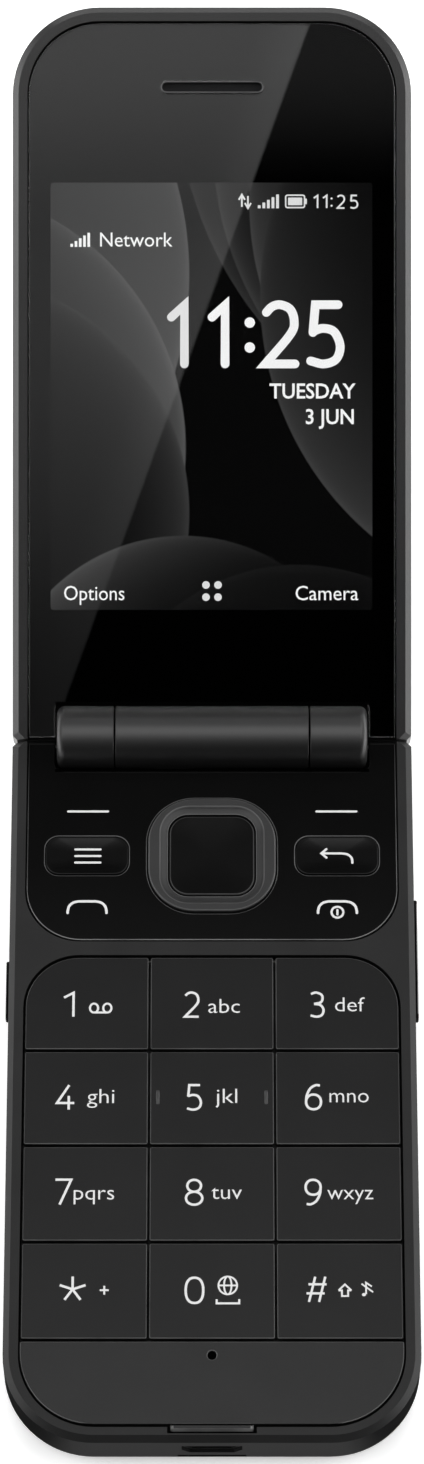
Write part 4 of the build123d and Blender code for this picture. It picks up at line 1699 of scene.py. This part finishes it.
@dataclass
class Shell:
    """The base's housing, its openings in the walls, and everything inside."""

    recess: Pair = (25.6, 98.7)

    def build(self, shop: Workshop) -> None:
        """Makes the housing pieces and finishes the hidden ones.

        Args:
            shop: The workshop that adds the pieces.
        """
        # The frame's recess walls get painted shade.
        shop.refined("base_front_frame", Half.BASE, Finishes.HOUSING, recess=self.recess)
        shop.refined("rear_cover", Half.BASE, Finishes.HOUSING)
        # The socket's steel is darkened as painted shade.
        shop.refined("usb_socket", Half.BASE, Finishes.SOCKET, bevel=0.03)
        shop.refined("headphone_jack", Half.BASE, Finishes.BLACK)
        shop.dress(Finishes.INNER, "base_rear_housing", "battery_contacts", "sim_card_holder")
        shop.dress(Finishes.BOARD, "main_board")
        shop.dress(Finishes.DOME, "dome_sheet")
        shop.dress(Finishes.SILICONE, "keypad_mat", "panel_mat")
        shop.dress(Finishes.LABEL, "battery")
        shop.dress(Finishes.BLACK, "side_key_switches", "loudspeaker", "microphone")
        shop.dress(Finishes.MESH, "speaker_mesh")
        shop.dress(Finishes.STEEL, "vibration_motor", "base_screws")


@dataclass
class FunctionPanel:
    """The glossy sheet with its printed signs, the ring, the select key and the two flat keys.

    The sheet's painted edge highlight fades in over the fade's length from its start.
    """

    width: float = 50.5
    near: float = 0.65
    far: float = 29.92
    corner: float = 7.5
    fade_start: float = 4.0
    fade_length: float = 22.0
    top: float = 0.45
    bottom: float = 1.05
    nav_reach: float = 17.5
    ring_size: Pair = (17.4, 16.65)
    ring_corner: float = 6.3
    hole_size: Pair = (12.0, 12.1)
    hole_corner: float = 2.8
    slope: float = 1.1
    flat_key: Pair = (11.45, 5.75)
    flat_key_x: float = 17.07
    flat_key_corner: float = 1.9
    flat_key_gap: float = 0.15
    ring_gap: float = 0.18
    select_gap: float = 0.2
    bars: tuple[Pair, ...] = ((-16.98, 10.9), (17.05, 10.9))
    signs: tuple[Mark, ...] = (
        Mark("call", -16.98, 25.1, 2.05, 0.35, 3.1),
        Mark("call", 17.05, 25.1, 2.05, 0.35, 3.1),
        Mark("power", 17.05, 25.85, 1.9, 0.3, 1.0),
    )
    menu: Mark = Mark("menu", -16.95, 17.56, 2.25, 0.3, 1.76)
    back: Mark = Mark("back", 17.05, 17.56, 2.35, 0.31, 2.06)

    def build(self, shop: Workshop) -> None:
        """Makes the panel's pieces.

        Args:
            shop: The workshop that adds the pieces.
        """
        nav = (0.0, self.nav_reach)
        (wide, long), gap = self.ring_size, self.ring_gap
        holes = [centred(nav, (wide + 2 * gap, long + 2 * gap), self.ring_corner + gap, 14)]
        for side in (-1, 1):
            holes.append(centred((side * self.flat_key_x, nav[1]), self.flat_key, self.flat_key_corner, 10))
        outline = notched(self.width / 2, (self.near, self.far), self.corner)
        shape = slab(outline, rounded_edge(self.top, self.bottom, 0.12), holes)
        # The painted edge highlight fades in away from the hinge.
        shape.fade(np.clip((shape.points[:, 1] - self.fade_start) / self.fade_length, 0, 1))
        shop.piece("function_panel_gloss", shape, Half.BASE, Finishes.PANEL, replaces=["function_panel"])
        # A strip of painted shade along the panel's hinge notch.
        shop.piece("panel_lip", hinge_notch_shade(self.top, self.bottom), Half.BASE, Finishes.PAINTED_SHADE)
        press, signs = Print(Half.BASE, self.top), Soup()
        for centre in self.bars:
            signs.join(press.patch(centre, (5.75, 0.31), 0.154, 5))
        signs.join(press.marks(self.signs, rounded=True))
        shop.piece("panel_signs", signs, Half.BASE, Finishes.LEGEND)
        self.ring(shop)
        (wide, long), gap = self.hole_size, self.select_gap
        select = centred(nav, (wide - 2 * gap, long - 2 * gap), self.hole_corner - gap, 12)
        shape = self.dished(select, nav, (1.5, 0.3), 0.2, 0.06)
        shop.piece("select_key_gloss", shape, Half.BASE, Finishes.SELECT, "select_key", ["select_key"])
        self.flat(shop, -1, self.menu)
        self.flat(shop, 1, self.back)
        shop.dress(Finishes.STEEL, "nav_spacer")

    def dished(self, outline: Contour, centre: Pair, depths: Pair, bevel: float, drop: float) -> Soup:
        """A key from its bottom to its top, with a rounded edge that runs on into a shallow dish.

        Args:
            outline: The key's outline.
            centre: Its middle.
            depths: Its bottom and its top.
            bevel: The radius of its rounded edge.
            drop: How deep the dish is.

        Returns:
            The soup of its faces.
        """
        bottom, top = depths
        stages = staged(outline, rounded_edge(top, bottom, bevel))
        return collar(stages + shrunk(stages[-1], centre, drop), closed=False)

    def flat(self, shop: Workshop, side: int, mark: Mark) -> None:
        """One flat key with its sign.

        Args:
            shop: The workshop that adds the pieces.
            side: -1 for the left key, 1 for the right one.
            mark: Its sign.
        """
        centre, gap = (side * self.flat_key_x, self.nav_reach), self.flat_key_gap
        wide, long = self.flat_key
        outline = centred(centre, (wide - 2 * gap, long - 2 * gap), self.flat_key_corner - gap, 10)
        shape = self.dished(outline, centre, (1.6 - PRESS_ROOM, 0.36), 0.08, 0.07)
        node = f"{mark.name}_key"
        shop.piece(f"{node}_gloss", shape, Half.BASE, Finishes.PILL, node, [node])
        sign = Print(Half.BASE, 0.42, proud=0.03, sunk=0.06).marks([mark], rounded=True)
        shop.piece(f"{node}_sign", sign, Half.BASE, Finishes.LEGEND, node)

    def ring(self, shop: Workshop) -> None:
        """The four-way ring.

        Outlines follow one another from the hidden flange up the outer wall, over the flat top, down a
        hollow slope and back down the opening; along the slope they are the mix of ridge and opening.

        Args:
            shop: The workshop that adds the pieces.
        """
        nav, (wide, long), slope = (0.0, self.nav_reach), self.hole_size, self.slope
        outer = centred(nav, self.ring_size, self.ring_corner, 14)
        ridge = centred(nav, (wide + 2 * slope, long + 2 * slope), self.hole_corner + slope, 14)
        hole = centred(nav, self.hole_size, self.hole_corner, 14)
        start, end = ridge.ring(0.03), hole.ring(-0.14)
        # The hidden flange carries painted gap shade.
        stages = [Stage(outer.ring(-0.6), depth, -1.0) for depth in (1.65, 1.45)]
        stages += staged(outer, rounded_edge(-0.05, 1.45, 0.2))
        stages.append(Stage(ridge.ring(-0.12), -0.05))
        # The ridge and the rim of the opening carry painted highlights.
        stages += [Stage(ridge.ring(-0.05), -0.05, 0.8), Stage(start, -0.02, 0.8)]
        for t in np.linspace(0, 1, 7)[1:-1].tolist():
            stages.append(Stage(start * (1 - t) + end * t, -0.02 + 0.34 * t**0.75))
        stages += [Stage(end, 0.32), Stage(hole.ring(-0.1), 0.31, 1.0), Stage(hole.ring(-0.03), 0.33, 1.0)]
        stages += [Stage(hole.ring(), *step) for step in ((0.4, -0.5), (0.5, -1.0), (1.65, -1.0))]
        shop.piece("nav_ring_satin", collar(stages), Half.BASE, Finishes.RING, "nav_ring", ["nav_ring"])


@dataclass(frozen=True)
class Legend:
    """What one number key shows, from the key's middle: its numeral and small signs, then letters."""

    marks: tuple[Mark, ...]
    letters: str = ""
    letters_x: float = 0.0
    letters_width: float = 0.0
    baseline: float = 0.93


REELS = Mark("reels", 1.85, 0.74, 1.57, 0.28, 2.24)
PLUS = Mark("plus", 2.66, 0.0, 1.48, 0.25, 0.97)
GLOBE = Mark("globe", 2.08, -0.66, 2.7, 0.24)
SPACE = Mark("space", 2.1, 1.53, 0.85, 0.28, 5.2)
SHIFT = Mark("shift", 0.67, 0.0, 1.85, 0.24, 1.05)
SILENT = Mark("silent", 3.58, -0.1, 2.1, 0.22, 0.85)


@dataclass
class Keypad:
    """The twelve number keys and the chin below them. The trims are the gaps beside and before a key."""

    corner: float = 7.2
    small_corner: float = 0.25
    bevel: float = 0.12
    trim: Pair = (0.04, 0.16)
    # The share of painted edge highlight on a key's sides, and the painted highlight over the middle key's
    # domes.
    side_highlight_share: float = 0.6
    dome_highlight: float = 0.3
    dome_size: Pair = (0.45, 2.0)
    dome_height: float = 0.15
    dome_x: float = 7.25
    first_trim: float = 0.05
    letter_weight: float = -0.006
    letter_height: float = 2.06
    chin_width: float = 50.46
    chin_end: float = 98.12
    chin_depths: Pair = (0.45, 1.6)
    chin_corner: float = 9.8
    tongue: float = 5.45
    tongue_reach: Pair = (-0.5, 0.98)
    microphone: Pair = (0.0, 88.7)
    microphone_radius: float = 0.6
    legends: tuple[Legend, ...] = (
        Legend((Mark("1", -2.47, 0.24), REELS)),
        Legend((Mark("2", -2.72, 0.24),), "abc", -0.5, 4.25, 1.44),
        Legend((Mark("3", -2.7, 0.24),), "def", -0.26, 4.0, 1.22),
        Legend((Mark("4", -2.73, 0.02),), "ghi", 0.13, 3.65, 0.85),
        Legend((Mark("5", -2.41, 0.02),), "jkl", 0.47, 2.9, 0.82),
        Legend((Mark("6", -3.27, -0.03),), "mno", -1.13, 5.25, 0.74),
        Legend((Mark("7", -2.91, -0.12),), "pqrs", -1.51, 5.38),
        Legend((Mark("8", -2.37, -0.1),), "tuv", -0.08, 4.05, 0.85),
        Legend((Mark("9", -3.42, -0.1),), "wxyz", -1.54, 6.1, 0.9),
        Legend((Mark("star", -1.52, -0.28, 3.55), PLUS)),
        Legend((Mark("0", -2.31, 0.02), GLOBE, SPACE)),
        Legend((Mark("hash", -3.08, -0.12, 3.8, 0.31), SHIFT, SILENT)),
    )

    def build(self, shop: Workshop) -> None:
        """Makes the keys, their legends and the chin.

        Args:
            shop: The workshop that adds the pieces.
        """
        for number, legend in enumerate(self.legends):
            self.key(shop, number, legend)
        self.chin(shop)

    def key(self, shop: Workshop, number: int, legend: Legend) -> None:
        """One keycap with its legend.

        Args:
            shop: The workshop that adds the pieces.
            number: Its place in the order of the keys.
            legend: Its legend.
        """
        numeral = legend.marks[0].name
        node = f"key_{numeral}"
        low, high = shop.span(node)
        middle_key = numeral == "5"
        top = LAYOUT.axis_z - high[2] + (self.dome_height if middle_key else 0.0)
        bottom = LAYOUT.axis_z - low[2] - PRESS_ROOM
        near, far = LAYOUT.axis_y - high[1], LAYOUT.axis_y - low[1]
        centre = ((low[0] + high[0]) / 2, (near + far) / 2)
        radii = [self.small_corner] * 4
        if numeral in ("1", "3"):
            radii[0 if numeral == "1" else 1] = self.corner
        x = (low[0] + self.trim[0], high[0] - self.trim[0])
        near += self.trim[1] if number > 2 else self.first_trim
        shape = slab(rectangle(x, (near, far), tuple(radii), 14), rounded_edge(top, bottom, self.bevel))
        # A key's sides carry less painted highlight than its ends.
        beside = np.minimum(shape.points[:, 0] - x[0], x[1] - shape.points[:, 0]) < self.bevel
        shape.fade(np.where(beside, self.side_highlight_share, 1.0))
        if middle_key:
            for side in (-1, 1):
                shape.join(self.dome((centre[0] + side * self.dome_x, centre[1]), top))
        shop.piece(f"{node}_cap", shape, Half.BASE, Finishes.KEY, node, [node])
        shop.piece(f"{node}_legend", self.legend(legend, centre, top), Half.BASE, Finishes.LEGEND, node)

    def dome(self, centre: Pair, top: float) -> Soup:
        """One of the two raised marks beside the middle key's sign.

        Args:
            centre: The dome's middle.
            top: The depth of the keycap's top.

        Returns:
            The soup of its faces.
        """
        ring = centred(centre, self.dome_size, 0.12, 5).ring()
        foot = [Stage(ring, top + 0.1), Stage(ring, top)]
        dome = collar(foot + shrunk(foot[-1], centre, -self.dome_height), closed=False)
        # The whole dome carries a painted highlight.
        dome.edge += self.dome_highlight
        return dome

    def legend(self, legend: Legend, centre: Pair, top: float) -> Soup:
        """The numeral and what stands beside it; letters are narrowed to their width.

        Args:
            legend: The legend.
            centre: The key's middle.
            top: The depth of the print.

        Returns:
            The soup of its faces.
        """
        press = Print(Half.BASE, top)
        made = press.marks(legend.marks, centre)
        if legend.letters:
            words = press.words(legend.letters, (0.0, 0.0), self.letter_height, self.letter_weight)
            low, high = words.points[:, 0].min(), words.points[:, 0].max()
            slim = legend.letters_width / (high - low)
            start = (centre[0] + legend.letters_x - low * slim, centre[1] + legend.baseline, 0.0)
            made.join(words.moved(np.diag([slim, 1.0, 1.0]), start))
        return made

    def chin(self, shop: Workshop) -> None:
        """The plate below the keys with the microphone hole and the tongue.

        Args:
            shop: The workshop that adds the pieces.
        """
        near, far = LAYOUT.axis_y - shop.span("chin_panel")[1][1], self.chin_end
        side, (top, bottom), tongue = self.chin_width / 2, self.chin_depths, self.tongue
        small, large, radius = self.small_corner, self.chin_corner, self.microphone_radius
        outline = rectangle((-side, side), (near + self.trim[1], far), (small, small, large, large), 16)
        shape = slab(outline, rounded_edge(top, bottom, self.bevel), [circle(self.microphone, radius, 6)])
        # No painted edge highlight along the chin's far edge.
        shape.fade(np.where(shape.points[:, 1] > far - 0.2, 0.0, 1.0))
        reach = (far + self.tongue_reach[0], far + self.tongue_reach[1])
        outline = rectangle((-tongue, tongue), reach, (0.1, 0.1, 0.45, 0.45), 6)
        slope = [(0.0, bottom), (0.0, 0.85), (0.05, 0.75), (0.35, 0.48), (0.42, 0.44), (0.45, 0.44)]
        shape.join(slab(outline, slope))
        shop.piece("chin_panel_matt", shape, Half.BASE, Finishes.CHIN, replaces=["chin_panel"])
        # Black strips of painted shade lie in the gaps at the tongue's root and end.
        root = rectangle((0.15 - tongue, tongue - 0.15), (far - 0.04, far + 0.16), 0.02, 2)
        end = rectangle((-tongue - 0.25, tongue + 0.25), (far + 0.95, far + 1.22), 0.02, 2)
        shape = slab(root, [(0.0, 0.6), (0.0, 0.43)]).join(slab(end, [(0.0, 1.2), (0.0, 0.62)]))
        shop.piece("tongue_gaps", shape, Half.BASE, Finishes.PAINTED_SHADE)
        # A black disc of painted shade lies down the microphone hole.
        hole_shade = slab(circle(self.microphone, radius + 0.02, 6), [(0.0, 1.5), (0.0, 0.8)])
        shop.piece("microphone_hole", hole_shade, Half.BASE, Finishes.PAINTED_SHADE)


@dataclass
class SideKeys:
    """The volume rocker on the right wall and the short key on the left wall.

    Each has three sizes: the reach of its middle, its length, and how far out its face is.
    """

    height: float = 2.1
    depth: float = 4.25
    corner: float = 0.8
    bevel: float = 0.12
    dark_end: float = 0.7
    root: float = 25.1
    volume: tuple[float, float, float] = (31.5, 17.6, 28.0)
    sos: tuple[float, float, float] = (36.0, 8.55, 27.95)

    def bar(self, side: int, reach: float, length: float, tip: float) -> Soup:
        """A bar that grows sideways out of the wall, its face bounded by a bevel.

        The slab's depth becomes the way inwards. The bevel carries a painted highlight, save near the bar's
        two ends, and the wall behind it carries painted gap shade.

        Args:
            side: 1 for the right wall, -1 for the left one.
            reach: Where the middle of the bar is.
            length: How long it is.
            tip: How far its face is from the middle of the phone.

        Returns:
            The bar in the half's frame.
        """
        outline = centred((reach, self.depth), (length, self.height), self.corner, 8)
        bevel = self.bevel
        wall = [(0.0, tip - self.root), (0.0, bevel + 0.06), (0.0, bevel + 0.03), (0.0, bevel)]
        shape = slab(outline, [*wall, (bevel, 0.0), (bevel + 0.03, 0.0)])
        # Painted highlight on the bevel, fading out at both ends; painted gap shade down the wall.
        shape.fade(np.clip((length / 2 - self.dark_end - np.abs(shape.points[:, 0] - reach)) / 0.2, 0, 1))
        shape.edge = np.where(shape.points[:, 2] > bevel + 0.05, -1.0, shape.edge)
        turn = np.array([[0.0, 0.0, -float(side)], [1.0, 0.0, 0.0], [0.0, 1.0, 0.0]])
        return shape.moved(turn, (side * tip, 0.0, 0.0))

    def build(self, shop: Workshop) -> None:
        """Makes both keys.

        Args:
            shop: The workshop that adds the pieces.
        """
        bar = self.bar(1, *self.volume)
        shop.piece("volume_rocker_bar", bar, Half.BASE, Finishes.ROCKER, "volume_rocker", ["volume_rocker"])
        bar = self.bar(-1, *self.sos)
        shop.piece("sos_key_bar", bar, Half.BASE, Finishes.SIDE_KEY, "sos_key", ["sos_key"])


# ---------------------------------------------------------------- the studio


@dataclass(frozen=True)
class Lamp:
    """An area lamp. Places and sizes are in metres; a lamp without glints lights only matt colour."""

    name: str
    place: Colour
    size: Pair
    power: float
    aim: Colour = (0.0, 0.03, 0.01)
    glints: bool = True


@dataclass(frozen=True)
class Ramp:
    """A share that rises from its least to 1 while one part of the direction goes from dark to full."""

    part: str
    dark: float
    full: float
    least: float = 0.0


@dataclass(frozen=True)
class Patch:
    """A soft bright patch of the sky: its light on the left and on the right, times its ramps.

    The parts of the direction are y, z, side (x without its sign) and level (z without its sign).
    """

    light: Pair
    ramps: tuple[Ramp, ...]


INNER_SIDES = Ramp("side", 0.95, 0.5)
SIDE_SPAN = (Ramp("y", -0.75, -0.35), Ramp("y", 0.5, 0.1, 0.7))
HORIZON = (Ramp("level", 0.24, 0.05), Ramp("side", 0.4, 0.85), *SIDE_SPAN)
STRIPS = (Ramp("side", 0.35, 0.5), Ramp("side", 0.85, 0.7), Ramp("z", 0.5, 0.65), Ramp("y", 0.1, 0.3))
SOFT_BOX = (Ramp("y", 0.405, 0.205), Ramp("y", -0.5, -0.2), INNER_SIDES, Ramp("z", 0.2, 0.5))
BACK_BAND = (Ramp("y", 0.5, 0.62), Ramp("z", 0.46, 0.74), INNER_SIDES)
BACK_EDGE = (Ramp("y", 0.75, 0.9), Ramp("z", 0.05, 0.2), Ramp("z", 0.4, 0.3))
FRONT = (Ramp("y", -0.85, -0.65), Ramp("y", -0.35, -0.5), INNER_SIDES)


@dataclass
class Studio:
    """Floor, soft lamps, reflection card, sky and camera."""

    distance: float = 747.8
    aim_reach: float = 0.79
    aim_depth: float = 0.25
    lens: float = 133.38
    floor_half: float = 3.0
    floor_drop: float = 0.00002
    floor_glow: float = 0.36
    card_gap: float = 6.0
    card_across: Pair = (-0.062, 0.062)
    card_along: Pair = (-0.01, 0.215)
    split_top: Pair = (27.1, 197.2)
    split_bottom: Pair = (-41.5, 7.4)
    flag_light: float = 0.26
    flag_across: Pair = (-42.0, 42.0)
    flag_along: Pair = (-75.0, -34.0)
    flag_lift: float = 0.05
    dim: float = 0.012
    patches: tuple[Patch, ...] = (
        Patch((6.4, 8.2), HORIZON),
        Patch((0.7, 1.9), STRIPS),
        Patch((2.0, 2.0), SOFT_BOX),
        Patch((1.0, 1.0), BACK_BAND),
        Patch((2.6, 2.6), BACK_EDGE),
        Patch((0.14, 0.14), FRONT),
    )
    lamps: tuple[Lamp, ...] = (
        Lamp("lamp_back", (0.0, 0.9, 1.3), (1.2, 0.8), 12.0, glints=False),
        Lamp("lamp_left", (-1.1, 0.1, 0.45), (0.9, 0.5), 7.0, glints=False),
        Lamp("lamp_right", (1.1, 0.1, 0.45), (0.9, 0.5), 7.0, glints=False),
    )

    def build(self) -> None:
        """Sets up everything around the phone."""
        self.camera()
        self.floor()
        self.card()
        self.flag()
        for lamp in self.lamps:
            self.lamp(lamp)
        self.sky()

    def eye(self) -> tuple[Vector, Vector, Vector]:
        """The camera's place in metres, its upward direction and the direction from the lid to it.

        Returns:
            The place, the upward direction and the outward direction.
        """
        along, down = LAYOUT.along(Half.LID), LAYOUT.down(Half.LID)
        up, out = Vector((0, *along)), Vector((0, *(-down)))
        hinge = Vector((0, LAYOUT.axis_y, LAYOUT.axis_z))
        return (hinge + up * self.aim_reach + out * (self.distance - self.aim_depth)) * MM, up, out

    def camera(self) -> None:
        """The camera, square to the lid."""
        place, up, out = self.eye()
        data = bpy.data.cameras.new("camera")
        data.lens, data.clip_start, data.clip_end = self.lens, 0.01, 20
        thing = put("camera", data)
        turn = Matrix((up.cross(out), up, out)).transposed().to_4x4()
        thing.matrix_world = Matrix.Translation(place) @ turn
        bpy.context.scene.camera = thing

    def plane(
        self, name: str, corners: Sequence[Vector], material: bpy.types.Material, reflected: bool = False
    ) -> bpy.types.Object:
        """A flat stage piece; a reflected one shows only in reflections and behind glass.

        Args:
            name: The object's name.
            corners: Its four corners, in metres.
            material: Its material.
            reflected: Whether it is hidden from direct view.

        Returns:
            The new object.
        """
        mesh = bpy.data.meshes.new(name)
        mesh.from_pydata([tuple(corner) for corner in corners], [], [(0, 1, 2, 3)])
        mesh.materials.append(material)
        thing = put(name, mesh)
        if reflected:
            thing.visible_camera = thing.visible_diffuse = thing.visible_shadow = False
        return thing

    def floor(self) -> None:
        """A pale floor, clear from below, that looks lighter than it shines."""
        bench = new_bench("floor_white")
        pale = bench.blend(bench.noise(60.0), grey(0.9), grey(0.92))
        matt = bench.out("BsdfPrincipled", Base_Color=pale, Roughness=0.9, Specular_IOR_Level=0.0)
        seen = bench.out("LightPath", output="Is Camera Ray") + bench.out("LightPath", output="Is Glossy Ray")
        seen = seen.math("ADD", bench.out("LightPath", output="Is Transmission Ray"), clamp=True)
        both = bench.out("AddShader", matt, bench.out("Emission", Strength=seen * self.floor_glow))
        behind = bench.out("NewGeometry", output="Backfacing")
        material = bench.finish(bench.out("MixShader", behind, both, bench.out("BsdfTransparent")))
        span = (-self.floor_half, self.floor_half)
        self.plane("floor", [Vector((x, y, -self.floor_drop)) for x, y in corners_of(span, span)], material)

    def card(self) -> None:
        """A soft card behind the camera that only reflections see, cut off along a diagonal."""
        bench = new_bench("card_glow")
        place, up, out = self.eye()
        centre = place + out * self.card_gap * MM
        foot = centre / MM
        x, y, z = bench.axes()
        rise = (y - foot.y) * up.y + (z - foot.z) * up.z + self.aim_reach
        (x0, r0), (x1, r1) = self.split_bottom, self.split_top
        length = math.hypot(x1 - x0, r1 - r0)
        off = (x - x0) * ((r1 - r0) / length) - (rise - r0) * ((x1 - x0) / length)
        left = rise.ramp(0.0, 125.0) * 0.31 + rise.ramp(140.0, 195.0) * 0.34 + 0.07
        right = rise.ramp(150.0, 190.0) * 0.13
        brim = off.ramp(-14.0, 0.0) * 0.25 + 1.0
        glow = off.ramp(0.6, -0.6) * (left * brim - right) + right
        material = bench.finish(bench.out("Emission", Strength=glow))
        span = corners_of(self.card_across, self.card_along)
        self.plane("card", [centre + Vector((a, 0, 0)) + up * b for a, b in span], material, reflected=True)

    def flag(self) -> None:
        """A grey flag before the free end that only reflections see, black towards the corners."""
        bench = new_bench("flag_grey")
        x, y, _ = bench.axes()
        light = x.math("ABSOLUTE").ramp(25.0, 17.0) * y.ramp(-70.0, -58.0) * self.flag_light
        material = bench.finish(bench.out("Emission", Strength=light + bench.noise(20.0) * 0.01))
        span = corners_of(self.flag_across, self.flag_along)
        corners = [Vector((x, y, self.flag_lift)) * MM for x, y in span]
        self.plane("flag", corners, material, reflected=True).visible_transmission = False

    def lamp(self, lamp: Lamp) -> None:
        """Adds one area lamp that faces its aim.

        Args:
            lamp: Its name, place, aim, size and power.
        """
        data = bpy.data.lights.new(lamp.name, "AREA")
        data.shape, data.energy = "RECTANGLE", lamp.power
        data.size, data.size_y = lamp.size
        thing = put(lamp.name, data)
        place, aim = Vector(lamp.place), Vector(lamp.aim)
        turn = (aim - place).to_track_quat("-Z", "Y").to_matrix().to_4x4()
        thing.matrix_world = Matrix.Translation(place) @ turn
        thing.visible_camera = False
        thing.visible_glossy = lamp.glints

    def sky(self) -> None:
        """A dim sky with its bright patches, white to the camera."""
        world = bpy.data.worlds.new("studio")
        bpy.context.scene.world = world
        bench = Bench(world)
        x, y, z = bench.split(bench.out("TexCoord", output="Generated"))
        parts = {"y": y, "z": z, "side": x.math("ABSOLUTE"), "level": z.math("ABSOLUTE")}
        right = x.ramp(-0.2, 0.2)
        total: Wire | float = self.dim
        for patch in self.patches:
            light = right * (patch.light[1] - patch.light[0]) + patch.light[0]
            for ramp in patch.ramps:
                share = parts[ramp.part].ramp(ramp.dark, ramp.full)
                light = light * (share * (1 - ramp.least) + ramp.least)
            total = light + total
        camera = bench.out("LightPath", output="Is Camera Ray")
        strength = total * (camera * -1.0 + 1.0) + camera
        bench.finish(bench.out("Background", Strength=strength), "OutputWorld")


def main() -> None:
    """Loads the frame, dresses the phone and sets up the studio."""
    logging.basicConfig(level=logging.INFO, format="%(name)s: %(message)s")
    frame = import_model()
    bpy.context.scene.view_settings.view_transform = "Standard"
    shop = Workshop(frame["nodes"])
    for part in (Lid(), Display(), Barrel(), Shell(), FunctionPanel(), Keypad(), SideKeys()):
        part.build(shop)
        LOG.info("%s done, %d pieces so far", type(part).__name__, shop.pieces)
    Studio().build()


if __name__ == "__main__":
    main()
